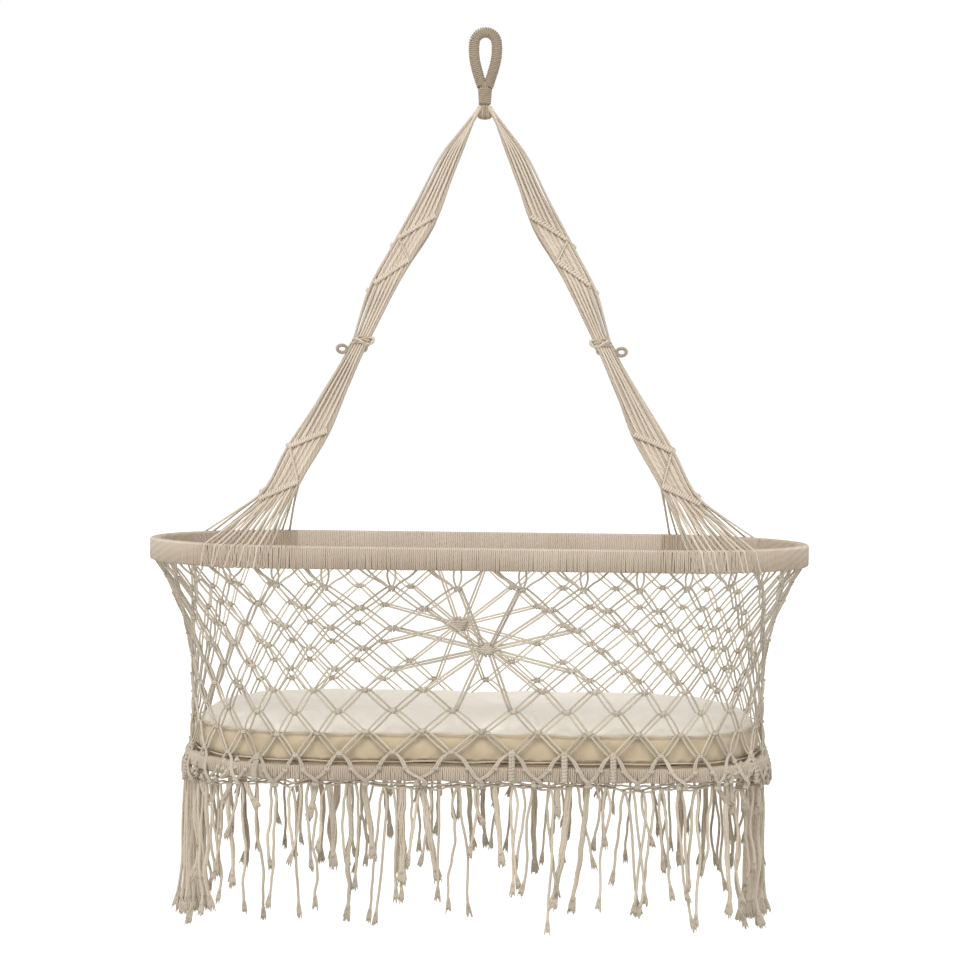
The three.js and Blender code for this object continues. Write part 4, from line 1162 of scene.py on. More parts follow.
    def build(self) -> None:
        """Makes the pieces of the strap."""
        self.fan().deliver(Body.CRADLE, Finish.STRAP, self.name + "_strap_cords")
        for which in ("upper", "lower"):
            self.band(which).deliver(Body.CRADLE, Finish.STRAP, f"{self.name}_{which}_hitch_band")
        self.bound().deliver(Body.CRADLE, Finish.STRAP, self.name + "_gathering_knot")
        if self.face > 0:
            loop = self.name.split("_")[1] + "_picot_loop"
            self.picot().deliver(Body.CRADLE, Finish.STRAP, loop)


@dataclass(frozen=True)
class Link:
    """A doubled cord from a knot to the next row, or a spoke from a knot to a star."""

    start: Array
    end: Array
    out: Array
    spoke: bool


@dataclass
class Net:
    """The diamond net between the two hoops: doubled cords, square knots and a star in front and back."""

    columns: int = 34
    rows: int = 9
    radius: float = 0.225
    inset: float = 0.060
    top: float = -0.718
    drop: float = 0.256
    first_row_share: float = 0.0996
    row_share: float = 0.1031
    cord: float = 0.00142
    reach: float = 0.0036
    slack: float = 0.003
    star_row: int = 4
    star_reach: float = 0.0085
    stars: tuple[int, int] = (0, 17)
    knot_half_width: float = 0.0037
    knot_half_depth: float = 0.0026
    knot_half_height: float = 0.0016
    knot_cord: float = 0.00122
    heart_cord: float = 0.0013
    chain_step: float = 0.0042

    # Shares of the inset by shares of the drop
    profile = np.array([
        [0, 0.117, 0.234, 0.332, 0.469, 0.605, 0.859, 1],
        [0.13, 0.383, 0.617, 0.8, 0.933, 0.983, 1, 0.885],
    ])
    # Middle, half width and depth of the sags in front
    sags = ((-0.28, 0.13, 0.0078), (0.25, 0.20, 0.0025))
    # Strands that pass upright through a square knot
    heart = np.array([[-0.0014, 0.0, 0.0042], [-0.0022, 0.0006, 0.0], [-0.0014, 0.0, -0.0042]])
    # Last column of each panel
    borders = (
        (2.8, "front"), (6.5, "front_right"), (10.1, "right_end"), (13.45, "back_right"), (19.6, "back"),
        (23.3, "back_left"), (27, "left_end"), (30.8, "front_left"), (34, "front"),
    )
    # Places of columns along the oval in the first rows and in the last ones; the back is spaced alike in both
    spread_columns = np.array([
        -8.6, -5.5, -4.5, -3.5, -2.5, -1.5, -0.5, 0.5, 1.5, 2.5, 3.5, 4.5, 5.5, 6.5, 8.6,
        12, 13, 14, 15, 16, 17, 18, 19, 20, 21, 25.4,
    ])
    spread_back = [734.4, 805.4, 875.4, 954.4, 1028.4, 1104.4, 1178.4, 1254.4, 1328.4, 1390.4, 1617.5]
    spread_high = np.array([
        -539.2, -377.6, -320.6, -257, -195.8, -111, -27.4, 55.4, 133, 204.5, 264.6, 322.8, 376, 431, 539.2,
        *spread_back,
    ]) / 1000
    spread_low = np.array([
        -539.2, -353, -297.5, -236, -178, -109, -33, 45, 113, 176, 240, 304, 362, 418, 539.2,
        *spread_back,
    ]) / 1000

    def row_drop(self, row: Any) -> Any:
        """Returns how far a row lies below the rim."""
        return self.drop * (self.first_row_share + self.row_share * (np.asarray(row) - 1))

    def along(self, column: Any, drop: Any) -> Array:
        """Finds where columns run; they stand wider on the straights and draw together downwards.

        Args:
            column: Columns, counted to the right from the star in front.
            drop: How far below the rim.

        Returns:
            The places along the oval of the middle radius.
        """
        first = self.spread_columns[0]
        place = np.mod(np.asarray(column, float) - first, self.columns) + first
        spreads = (self.spread_high, self.spread_low)
        high, low = (np.interp(place, self.spread_columns, spread) for spread in spreads)
        return mixed(high, low, np.clip((np.asarray(drop) / self.drop - 0.1) / 0.72, 0, 1))

    def at(self, column: Any, drop: Any, aside: Any = 0.0, beyond: Any = 0.0) -> Array:
        """Finds points of the net, which hangs a little lower towards the ends and in its sags.

        Args:
            column: Columns, counted to the right from the star in front.
            drop: How far below the rim.
            aside: How far to the right of the column.
            beyond: How far out of the net.

        Returns:
            The points.
        """
        radius = self.radius - self.inset * np.interp(np.asarray(drop) / self.drop, *self.profile)
        along = self.along(column, drop)
        share = np.clip(np.asarray(drop) / self.drop, 0, 1.2)
        out = PLAN.out(MIDDLE, along)
        bend = np.clip(np.abs(out[..., 0]) * 2.5 + 0.3, 0, 1)
        rise = bend * (0.0065 - 0.009 * np.minimum(share, 1)) * np.clip(share / 0.1, 0, 1)
        rise = rise - droop(out) * np.clip((share - 0.80) / 0.22, 0, 1)
        sagging = np.clip((share - 0.45) / 0.35, 0, 1) * np.clip((1.08 - share) / 0.12, 0.3, 1)
        for middle, half, depth in self.sags:
            rise = rise - depth * np.exp(-(((along - middle) / half) ** 2)) * sagging
        return PLAN.at(MIDDLE, along + aside, self.top - drop + rise, radius - MIDDLE + beyond)

    def out(self, column: Any) -> Array:
        """Returns the outward directions at these columns."""
        return PLAN.out(MIDDLE, self.along(column, self.drop / 2))

    def panel(self, column: float) -> str:
        """Returns the name of the panel that holds a column."""
        return next(name for edge, name in self.borders if column % self.columns <= edge)

    def star_of(self, row: int, column: float) -> int | None:
        """Finds the star that takes the place of a knot.

        Args:
            row: Row of the knot.
            column: Its column.

        Returns:
            The column of the star, or None where the knot is tied.
        """
        for star in self.stars:
            apart = abs(column % self.columns - star)
            if 2 * min(apart, self.columns - apart) <= 2 - abs(row - self.star_row):
                return star
        return None

    def knots(self) -> list[tuple[int, float]]:
        """Finds the places of all knots.

        Returns:
            The row and column of each knot.
        """
        rows = range(1, self.rows + 1)
        places = [(row, column + (row % 2) / 2) for row in rows for column in range(self.columns)]
        return [place for place in places if self.star_of(*place) is None]

    def links(self, knots: list[tuple[int, float]]) -> dict[str, list[Link]]:
        """Finds the links from each knot down to the next row, and from the knots round a star to its middle.

        Args:
            knots: Rows and columns of all knots.

        Returns:
            The links of each panel.
        """
        known = set(knots)
        links: dict[str, list[Link]] = {name: [] for _, name in self.borders}
        steps = [(down, aside) for down in (-1, 1) for aside in (-0.5, 0.5)]
        for row, column in knots:
            here, panel = self.at(column, self.row_drop(row)), links[self.panel(column)]
            for down, aside in steps:
                other = (row + down, (column + aside) % self.columns)
                star = self.star_of(*other) if 1 <= other[0] <= self.rows else None
                if star is not None:
                    middle = mixed(column, star, 0.5) if star else column
                    panel.append(Link(here, self.at(star, self.row_drop(self.star_row)), self.out(middle), True))
                elif down > 0 and other in known:
                    end = self.at(column + aside, self.row_drop(row + 1))
                    panel.append(Link(here, end, self.out(column), False))
        return links

    def pair(self, links: list[Link], salt: int, part: float, bow: float) -> Array:
        """Draws the two cords of each link, which leave the knots together and bow apart.

        Args:
            links: The links.
            salt: Picks the small differences.
            part: Half the way between the cords at the knots.
            bow: How much further they part in the middle.

        Returns:
            The points of the cords, first all of one side and then all of the other.
        """
        start, end, out = (np.array([getattr(link, key) for link in links]) for key in ("start", "end", "out"))
        t = np.linspace(0, 1, 8)[None, :, None]
        flat = np.cross(UP, out)
        steep = np.abs((unit(end - start) * UP).sum(1))
        lean = np.sign(((end - start) * flat).sum(1))[:, None] * flat * self.reach
        start, end = start + lean, end - lean
        side = unit(np.cross(out, end - start))[:, None]
        line = start[:, None] + (end - start)[:, None] * t
        swell = np.sin(math.pi * t) ** 0.8 * (1 + 2.2 * np.clip(steep - 0.72, 0, 1) / 0.28)[:, None, None]
        cords = []
        for sign in (1, -1):
            seeds = np.arange(len(links)) + 200 * (sign + 1)
            extra = (0.6 + 0.9 * chance(seeds, salt))[:, None, None]
            away = side * sign * (part + bow * extra * swell)
            slack = out[:, None] * (chance(seeds, salt + 1) - 0.5)[:, None, None] * swell * self.slack
            cords.append(line + away + slack)
        return np.concatenate(cords)

    def tie(self, cords: CordMesh, places: Array, out: Array, size: float = 1.0, tilt: float = 0.3) -> None:
        """Ties square knots: turns wound across the strands, which pass upright inside them.

        Args:
            cords: The mesh that takes them.
            places: Their middles (n, 3).
            out: Directions out of the net.
            size: Size against the common knot.
            tilt: How far they lean at random.
        """
        seeds = np.arange(len(places))
        lean = ((chance(seeds, 21) - 0.5) * tilt)[:, None]
        flat = np.cross(UP, out)
        along = flat * np.cos(lean) + UP * np.sin(lean)
        up = UP * np.cos(lean) - flat * np.sin(lean)
        turn = 2 * math.pi * np.linspace(0.0, 1.98, 19)
        rise = np.linspace(self.knot_half_height, -self.knot_half_height, 19)
        wraps = np.stack([self.knot_half_width * np.cos(turn), self.knot_half_depth * np.sin(turn), rise], 1)
        hearts = (self.heart, self.heart * [-1, 1, 1])
        for shape, thick in ((wraps, self.knot_cord), *((heart, self.heart_cord) for heart in hearts)):
            x, y, z = np.split(shape * size, 3, 1)
            lines = places[:, None] + along[:, None] * x + out[:, None] * y + up[:, None] * z
            cords.lay(lines, thick * size, 5, tone=0.35 + 0.5 * chance(seeds, 22))

    def build(self) -> None:
        """Makes the panels and the bound middles of the stars."""
        knots = self.knots()
        for name, links in self.links(knots).items():
            cords = CordMesh("net_" + name + "_cords")
            back = "back" in name
            for spoke, part, bow, share in ((False, 0.0024, 0.0007, 1), (True, 0.0017, 0.0002, 1.15)):
                chosen = [link for link in links if link.spoke == spoke]
                if chosen:
                    pairs = self.pair(chosen, len(name), part, bow)
                    tones = chance(np.arange(len(pairs)), 7) * 0.7 + (0.5 if back else 0.15)
                    cords.lay(pairs, self.cord * (0.92 if back else 1.0) * share, tone=tones)
            here = [place for place in knots if self.panel(place[1]) == name]
            rows, columns = np.array(here, float).T
            self.tie(cords, self.at(columns, self.row_drop(rows)), self.out(columns))
            self.hang(cords, columns[rows == 1])
            self.foot(cords, columns[rows == self.rows])
            cords.deliver(Body.CRADLE, Finish.NET, "net_" + name)
        for star, side in zip(self.stars, ("front", "back")):
            self.star(side, star)

    def hang(self, cords: CordMesh, columns: Array) -> None:
        """Hangs the first row from the rim: two upright cords from each knot and slanting ones beside them.

        Args:
            cords: The mesh that takes the cords.
            columns: Columns of the knots.
        """
        drop = float(self.row_drop(1))
        for number, across in enumerate((-0.45, -0.39, -0.05, 0.05, 0.43)):
            wide = across * (0.9 + 0.2 * chance(columns, 30 + number))
            bulge = np.sign(across) * (0.0022 if abs(across) < 0.1 else 0.0)
            lean = (chance(columns, 35 + number) - 0.5) * 0.004
            rows = [
                self.at(columns, drop - 0.001, across * 0.008, 0.0005),
                self.at(columns + wide * 0.34, drop * 0.66, bulge, 0.0005),
                self.at(columns + wide * 0.70, drop * 0.33, bulge, lean / 2),
                self.at(columns + wide, -0.002, 0.0, lean),
            ]
            cords.lay(smooth(np.stack(rows, 1), 3), self.cord)

    def foot(self, cords: CordMesh, columns: Array) -> None:
        """Ties the last row to the base: strands part, are hitched on the band and meet their neighbours below.

        Args:
            cords: The mesh that takes the strands.
            columns: Columns of the knots.
        """
        drop = float(self.row_drop(self.rows))
        out = self.out(columns)
        for side, twin in [(s, t) for s in (-1, 1) for t in (-1, 1)]:
            wide = (0.20 + 0.08 * chance(columns, 42 + side)) * side
            low = (0.46 + 0.12 * chance(columns, 44 + side)) * side
            over = 0.0014 * (1 + side)
            beside = twin * 0.0014
            rows = [
                self.at(columns, drop, side * 0.0030, 0.0004),
                self.at(columns + wide * 0.72, drop + 0.009, beside, 0.0014),
                self.at(columns + wide, self.drop - 0.002, beside, 0.0034 + over / 2),
                self.at(columns + wide * 1.2, self.drop + 0.003, beside, 0.0038 + over),
                self.at(columns + (wide + low) / 2, self.drop + 0.0095, beside, 0.0040 + over),
                self.at(columns + low, self.drop + 0.0165, beside, 0.0038 + over),
                self.at(columns + low * 1.06, self.drop + 0.0220, beside, 0.0030),
            ]
            tones = 0.1 + 0.5 * chance(columns, 48 + side)
            cords.lay(smooth(np.stack(rows, 1), 3), self.cord * 1.05, tone=tones)
            if twin > 0:
                self.tie(cords, self.at(columns + wide, self.drop + 0.0005, 0.0, 0.0044), out, 0.85)
                self.tie(cords, self.at(columns + low, self.drop + 0.0215, 0.0, 0.0026), out, 0.9)
        straight = chance(columns, 41) > 0.7
        for step in range(8 if straight.any() else 0):
            beyond = float(np.interp(step, [0, 4, 7], [0.0014, 0.0050, 0.0050]))
            places = self.at(columns[straight], drop + self.chain_step * (step + 0.8), 0.0, beyond)
            self.tie(cords, places, out[straight], 0.95, 0.9)
        crowd = columns[np.abs(out[:, 0]) > 0.62]
        for step in range(9 if len(crowd) else 0):
            aside = crowd + (chance(crowd, 60 + step) - 0.5) * 0.9
            places = self.at(aside, self.drop * (0.955 + 0.014 * step), 0.0, 0.0022 if step > 2 else 0.0008)
            self.tie(cords, places, self.out(aside), 0.9, 1.2)

    def star(self, side: str, column: int) -> None:
        """Binds the middle of a star, a small knot in front and a denser one at the back.

        Args:
            side: Side of the cradle, front or back.
            column: Column of the star.
        """
        cords = CordMesh(side + "_star_middle")
        place = self.at(np.array([column]), self.row_drop(self.star_row))
        out = self.out(np.array([column]))
        flat = np.cross(UP, out)
        size = 1.0 if side == "front" else 1.25
        for number, height in enumerate((0.0022, -0.0004, -0.0030)):
            self.tie(cords, place + UP * height * size + flat * 0.0015 * (number - 1), out, 1.55 * size, 0.25)
        angle = np.arange(14) * math.pi / 7 + 0.2
        spread = flat * np.cos(angle)[:, None] * 1.35 + UP * np.sin(angle)[:, None]
        reach = self.star_reach * size
        rows = [place + out * 0.0045, place + spread * reach * 0.55 + out * 0.0036, place + spread * reach]
        cords.lay(smooth(np.stack(np.broadcast_arrays(*rows), 1), 4), 0.0015 * size, tone=0.4)
        cords.deliver(Body.CRADLE, Finish.NET, side + "_star_knot")


@dataclass
class Fringe:
    """The hem below the base with its cord ends, and the thick tassel at each end."""

    strands: int = 81
    radius: float = 0.1655
    hem_top: float = -0.9933
    hem_cord: float = 0.0014
    shortest: float = 0.070
    longest: float = 0.193
    cord: float = 0.0020
    ribbon_cord: float = 0.0013
    tuft_threads: int = 11
    tuft_half: float = 0.0022
    tassel_strands: int = 72
    tassel_cord: float = 0.0015

    # First and last strand of each stretch, and the places of the tassels with how far aside of them they hang
    sections = {"front": (-9, 9), "right_end": (10, 31), "back": (32, 49), "left_end": (50, 71)}
    tassels = {"right": (20, 1, -0.008), "left": (61, -1, 0.003)}
    # How far each hem cord dips, as a share of the lowest one's dip, and how much of the droop it takes
    hem_shares = ((0.0, 0.0), (0.45, 0.45), (1.0, 1.0), (0.8, 1.0))
    # Thickness of a thread of a tuft, and fall and width of a tassel
    thread = np.array([0.0009, 0.0010, 0.0010, 0.0009, 0.0004])
    tassel_falls = (0.0, 0.012, 0.04, 0.085, 0.125, 0.158, 0.179)
    tassel_widths = (0.024, 0.027, 0.028, 0.029, 0.029, 0.033, 0.040)

    def along(self, index: Any) -> Any:
        """Returns the place of a strand along the hem."""
        return np.asarray(index, float) / self.strands * PLAN.length(self.radius)

    def out(self, index: Any) -> Array:
        """Returns the outward direction at a strand."""
        return PLAN.out(self.radius, self.along(index))

    def low(self, index: Any) -> Any:
        """Returns the height of the lowest hem cord at a strand, between its dips and its ties to the base."""
        return self.hem_top - 0.0015 - 0.0105 * chance(np.asarray(index) % self.strands, 50) ** 0.7

    def hem(self, cords: CordMesh, first: int, last: int) -> None:
        """Lays the hem cords, which dip between the places where the net is tied to them.

        Args:
            cords: The mesh that takes them.
            first: First strand of the stretch.
            last: Last strand.
        """
        marks = np.arange(first - 2, last + 3)
        for number, (share, fall) in enumerate(self.hem_shares):
            along = self.along(np.linspace(first - 0.5, last + 0.5, (last - first + 1) * 6))
            height = np.interp(along + 0.004 * (number == 3), self.along(marks), self.low(marks))
            height = mixed(self.hem_top + 0.0016, height, share) + 0.0010 * np.sin(along * 230 + number * 2)
            height = height - fall * droop(PLAN.out(self.radius, along))
            cords.lay(PLAN.at(self.radius, along, height, 0.0035 - 0.0020 * number), self.hem_cord, tone=0.5)

    def line(self, index: float, length: float, start: float, salt: int, spread: float) -> Array:
        """Draws the middle line of a hanging strand.

        Args:
            index: Place of the strand.
            length: How far it hangs.
            start: Height of its upper end.
            salt: Picks its waves.
            spread: How far to the side it leaves the hem.

        Returns:
            The points of the line.
        """
        share = np.linspace(0, 1, 30)
        run = share * length
        seeds = [float(chance(index * 3.7, salt + n)) for n in range(8)]
        sway = spread * np.minimum(1, run / 0.022) ** 0.6 + (seeds[0] - 0.5) * 0.034 * share**1.4
        slow = 2 * math.pi * (run / (0.070 + 0.09 * seeds[2]) + seeds[3])
        waves = (0.0004 + 0.0032 * seeds[1] ** 2) * np.sin(slow)
        waves = waves + 0.0007 * np.sin(2 * math.pi * (run / 0.030 + seeds[6])) * seeds[7]
        inward = 0.004 * (seeds[4] - 0.5) + 0.004 * np.sin(2 * math.pi * (run / 0.09 + seeds[5])) * share
        aside = self.along(index) + sway + waves * np.minimum(1, share * 5)
        return PLAN.at(self.radius, aside, start - run, inward)

    def tuft(self, cords: CordMesh, line: Array, width: float, salt: float, tone: float) -> None:
        """Frays the end of a strand into a small brush.

        Args:
            cords: The mesh that takes the threads.
            line: Middle line of the strand.
            width: Width of the brush at its root.
            salt: Picks its threads.
            tone: Tone of the strand.
        """
        end, way = line[-1], unit(line[-1] - line[-3])
        side = unit(np.cross(way, np.array([0.3, 1.0, 0.1])))
        deep = np.cross(way, side)
        threads = np.arange(self.tuft_threads)
        index = threads + 31 * salt
        fan = (threads / (self.tuft_threads - 1) - 0.5)[:, None]
        reach = 0.012 + 0.008 * chance(index, 61)[:, None]
        back = (chance(index, 62)[:, None] - 0.5) * 0.5
        aim = unit(way + side * fan * (0.20 + 30 * width) + deep * back * 0.4)
        root = end - way * 0.006 + side * fan * width
        middle = root + unit(way + side * fan * 0.30) * reach * 0.5
        cords.lay(smooth(np.stack([root, middle, middle + aim * reach * 0.6], 1), 2), self.thread, 4, tone=tone)

    def strand(self, cords: CordMesh, index: float, length: float, spread: float, wide: bool) -> None:
        """Hangs one strand: a cord, or an untwisted ribbon of seven threads.

        Args:
            cords: The mesh that takes it.
            index: Its place.
            length: How far it hangs.
            spread: How far to the side it leaves the hem.
            wide: Whether it is a ribbon.
        """
        salt = 80 + int(index * 7) % 97
        start = float(self.low(round(index)) - droop(self.out(index))) + 0.001
        line = self.line(index, length - 0.014, start, salt, spread)
        tone = 0.15 + 0.75 * float(chance(index, 71))
        if not wide:
            cords.lay(line, self.cord, tone=tone)
            self.tuft(cords, line, self.tuft_half, index, tone)
            return
        side = unit(np.cross(unit(np.gradient(line, axis=0)), self.out(index)))
        share = np.linspace(0, 1, len(line))[:, None]
        full = 0.0018 + 0.0022 * float(chance(index, 75))
        for number in range(7):
            swell = full * (1 - 0.25 * share) + 0.0008 * np.sin(share * math.pi * 1.3 + number) * share
            depth = self.out(index) * 0.0008 * (1 if number % 2 else -1)
            ripple = 0.0004 * np.sin(share * 15 + number * 2.1)
            path = line + side * ((number / 3 - 1) * swell + ripple) + depth
            cords.lay(path, self.ribbon_cord, 5, tone=tone + 0.1 * (number % 3))
        self.tuft(cords, line, full * 2, index, tone)
        self.tuft(cords, line - UP * 0.003, full * 1.5, index + 0.5, tone)

    def tassel(self, side: str, index: int, sign: int, aside: float) -> None:
        """Hangs the thick tassel of one end: many strands side by side that open at their foot.

        Args:
            side: Side of the cradle, left or right.
            index: Its place along the hem.
            sign: 1 to the right and -1 to the left.
            aside: How far along X it hangs from its place.
        """
        cords = CordMesh(side + "_tassel_strands")
        top = PLAN.at(self.radius, self.along(index), self.hem_top - 0.016)
        number = np.arange(self.tassel_strands)
        wide = (number % 24) / 23 - 0.5
        deep = (number // 24 - 1.0) * (0.7 + 0.5 * chance(number, 90 + index))
        rows = []
        for step, (fall, width) in enumerate(zip(self.tassel_falls, self.tassel_widths)):
            wobble = (chance(number + 17 * step, 91) - 0.5) * 0.0020 * (step > 0)
            x = top[0] + wide * width * 0.75 + sign * 0.004 * deep * (0.5 + step / 6) + aside + wobble
            y = top[1] + wide * width * 0.5 + deep * 0.004 + wobble
            rows.append(np.stack([x, y, top[2] - fall * (1 - 0.04 * chance(number, 92))], 1))
        lines = smooth(np.stack(rows, 1), 4)
        cords.lay(lines, self.tassel_cord, 5, tone=0.6 + 0.4 * chance(number, 94))
        for line in lines[::2]:
            self.tuft(cords, line - UP * 0.004, 0.003, float(line[0, 1] * 1000), 0.75)
        head = top + np.linspace(-0.004, -0.012, 41)[:, None] * UP
        cords.lay(coil(head, np.array([0.012, 0.008, 0]), np.array([-0.004, 0.006, 0]), 2.5), 0.0016)
        cords.deliver(Body.CRADLE, Finish.FRINGE, side + "_tassel")

    def hang(self, cords: CordMesh, index: int) -> None:
        """Hangs what belongs to one place of the hem: a strand, often a second one, and at times a stub.

        Args:
            cords: The mesh that takes the strands.
            index: The place.
        """
        apart = min(abs(index % self.strands - place) for place, *_ in self.tassels.values())
        if apart == 0:
            return
        share = math.sqrt(chance(index, 2))
        length = self.longest if apart == 1 else float(mixed(self.shortest, self.longest, share))
        wide = bool(chance(index, 1) > 0.67)
        paired = chance(index, 72) > (0.6 if wide else 0.25)
        self.strand(cords, index, length, 0.0048 if paired else 0.0, wide)
        if paired:
            other = max(0.05, length * (0.45 + 0.55 * float(chance(index, 73))))
            self.strand(cords, index + 0.02, other, -0.0056, False)
        if chance(index, 76) > 0.75:
            self.strand(cords, index + 0.36, 0.030 + 0.022 * float(chance(index, 77)), 0.0, True)
        elif chance(index, 76) < 0.22:
            self.strand(cords, index + 0.45, 0.060 + 0.110 * float(chance(index, 78)), 0.0040, False)

    def build(self) -> None:
        """Makes the four stretches of the fringe and both tassels."""
        for name, (first, last) in self.sections.items():
            cords = CordMesh("fringe_" + name + "_cords")
            self.hem(cords, first, last)
            for index in range(first, last + 1):
                self.hang(cords, index)
            cords.deliver(Body.CRADLE, Finish.FRINGE, "fringe_" + name)
        for side, places in self.tassels.items():
            self.tassel(side, *places)


@dataclass
class Mattress:
    """The crowned mattress: its cloth is blown up from a smaller shape, then edged with sewn cord."""

    radius: float = 0.1585
    bottom: float = -0.9715
    edge: float = -0.934
    crown: float = 0.022
    cap: float = 0.006
    around: int = 160
    voxel: float = 0.005
    seam_reach: float = 0.003
    pressure: float = 4.0
    swell_steps: int = 20

    # Distance out of the radius with height over the bottom, and with share of the crown
    rings = ((-0.030, 0.0), (-0.001, 0.0), (0.002, 0.003), (0.0, 0.018), (0.0, 0.032), (-0.005, 0.0375))
    crowns = ((-0.016, 0.30), (-0.032, 0.56), (-0.06, 0.80), (-0.10, 0.95), (-0.15, 1.0))

    def ring(self, radius: float, count: int, height: Any) -> Array:
        """Returns this many points round the oval of this radius."""
        return PLAN.at(radius, np.linspace(0, 1, count, endpoint=False) * PLAN.length(radius), height)

    def shell(self) -> bpy.types.Object:
        """Makes the closed start shape of the cushion, ring by ring.

        Returns:
            The cushion.
        """
        count = self.around
        lines = [(self.radius + out, self.bottom + up) for out, up in self.rings]
        lines += [(self.radius + out, self.edge + self.crown * share) for out, share in self.crowns]
        points = np.concatenate([self.ring(radius, count, height) for radius, height in lines])
        start = np.arange(len(lines) - 1)[:, None] * count
        here, after = np.arange(count), (np.arange(count) + 1) % count
        sides = np.stack([start + here, start + after, start + count + after, start + count + here], -1)
        last = count * (len(lines) - 1)
        faces = [list(range(count))[::-1], list(range(last, last + count)), *sides.reshape(-1, 4).tolist()]
        mesh = bpy.data.meshes.new("mattress_cushion")
        mesh.from_pydata(points.tolist(), [], faces)
        mesh.update()
        return added("mattress_cushion", mesh)

    def build(self) -> None:
        """Makes the cushion and its two sewn edges."""
        cushion = self.shell()
        select_only(cushion)
        remesh = cushion.modifiers.new("even_mesh", "REMESH")
        remesh.mode, remesh.voxel_size = "VOXEL", self.voxel
        bpy.ops.object.modifier_apply(modifier=remesh.name)
        self.blow(cushion)
        self.rumple(cushion)
        fine = cushion.modifiers.new("soften", "SUBSURF")
        fine.levels = fine.render_levels = 1
        bpy.ops.object.modifier_apply(modifier=fine.name)
        self.mark_sides(cushion)
        cushion.data.polygons.foreach_set("use_smooth", np.ones(len(cushion.data.polygons), bool))
        deliver(cushion, Body.MATTRESS, Finish.CLOTH, "mattress")
        share = np.linspace(0, 1, 300, endpoint=False)
        wave = 0.0006 * np.sin(share * 60) + 0.0005 * np.sin(share * 151)
        edges = {"upper": (0.0010, self.edge - 0.0005, 0.0008), "lower": (0.0036, self.bottom + 0.0020, 0.0012)}
        for name, (out, height, thick) in edges.items():
            edging = CordMesh(f"mattress_{name}_edging")
            edging.lay(self.ring(self.radius + out, 300, height + wave), thick, closed=True, tone=0.6)
            edging.deliver(Body.MATTRESS, Finish.NET)

    def blow(self, cushion: bpy.types.Object) -> None:
        """Swells the cloth with a little pressure and keeps each point near its start.

        Args:
            cushion: The cushion.
        """
        rest = coordinates(cushion)
        cloth = cushion.modifiers.new("swell", "CLOTH")
        held = cushion.vertex_groups.new(name="seams")
        near = [np.abs(rest[:, 2] - height) < self.seam_reach for height in (self.edge, self.bottom)]
        held.add([int(i) for i in np.nonzero(near[0] | near[1])[0]], 1.0, "REPLACE")
        settings = cloth.settings
        settings.vertex_group_mass = held.name
        settings.use_pressure = True
        settings.uniform_pressure_force = self.pressure
        settings.effector_weights.gravity = 0.0
        settings.shrink_min = -0.04
        settings.quality = 5
        scene = bpy.context.scene
        for number in range(1, self.swell_steps + 1):
            scene.frame_set(number)
        select_only(cushion)
        bpy.ops.object.modifier_apply(modifier=cloth.name)
        scene.frame_set(1)
        move = coordinates(cushion) - rest
        size = np.linalg.norm(move, axis=1, keepdims=True)
        place(cushion, rest + move * np.minimum(1, self.cap / np.maximum(size, CLOSE)))

    def rumple(self, cushion: bpy.types.Object) -> None:
        """Adds the shallow creases that run in from the upper edge.

        Args:
            cushion: The cushion.
        """
        points = coordinates(cushion)
        share = np.clip((points[:, 2] - self.edge + 0.012) / 0.03, 0, 1)
        x, y = points[:, 0], points[:, 1]
        folds = np.sin(x * 41 + 3 * np.sin(x * 17) + y * 22) * np.sin(y * 63 + 4 * np.sin(x * 9))
        small = np.sin(x * 140 + 9 * np.sin(y * 31)) * np.sin(y * 95 + 2 * np.sin(x * 57))
        points[:, 2] += share * (0.0022 * folds + 0.0009 * small)
        place(cushion, points)

    def mark_sides(self, cushion: bpy.types.Object) -> None:
        """Marks the sides below the upper edge, which take the painted shade.

        Args:
            cushion: The cushion.
        """
        x, y, height = coordinates(cushion).T
        seam = self.edge - 0.0018 + 0.0008 * np.sin(x * 23 + 4 * np.sin(x * 9 + y * 5))
        side = cushion.data.attributes.new("side", "FLOAT", "POINT")
        side.data.foreach_set("value", (1 - np.clip((height - seam) / 0.0035, 0, 1)).astype(np.float32))


@dataclass
class BaseSupport:
    """The lacing under the board, and the hidden hoops and board that keep their construction shape."""

    inner: float = 0.1605
    height: float = -0.9798
    spacing: float = 0.140
    side_share: float = 0.45
    twin_half: float = 0.0015
    cord: float = 0.0014

    def build(self) -> None:
        """Lays the lacing across and along, in pairs of cords, and dresses the board and both hoops."""
        cords = CordMesh("base_lacing_cords")
        twins = (-self.twin_half, self.twin_half)
        share = np.linspace(-1, 1, 13)
        for x in (number * self.spacing for number in range(-2, 3)):
            reach = math.sqrt(self.inner**2 - max(0.0, abs(x) - PLAN.straight_half) ** 2)
            height = self.height - 0.0008 * (1 - np.abs(share))
            for twin in twins:
                cords.lay(np.stack([0 * share + (x + twin), share * reach, height], 1), self.cord)
        share = np.linspace(-1, 1, 25)
        for y in (side * self.inner * self.side_share for side in (-1, 1)):
            reach = PLAN.straight_half + math.sqrt(self.inner**2 - y**2)
            height = self.height - 0.0012 * (1 - np.abs(share))
            for twin in twins:
                cords.lay(np.stack([share * reach, 0 * share + (y + twin), height], 1), self.cord)
        cords.deliver(Body.CRADLE, Finish.NET, "base_lacing")
        kept = {"rim_hoop": Finish.CANE, "base_hoop": Finish.CANE, "base_board": Finish.PLYWOOD}
        for node, finish in kept.items():
            frame["nodes"][node].material_slots[0].material = finish.made()


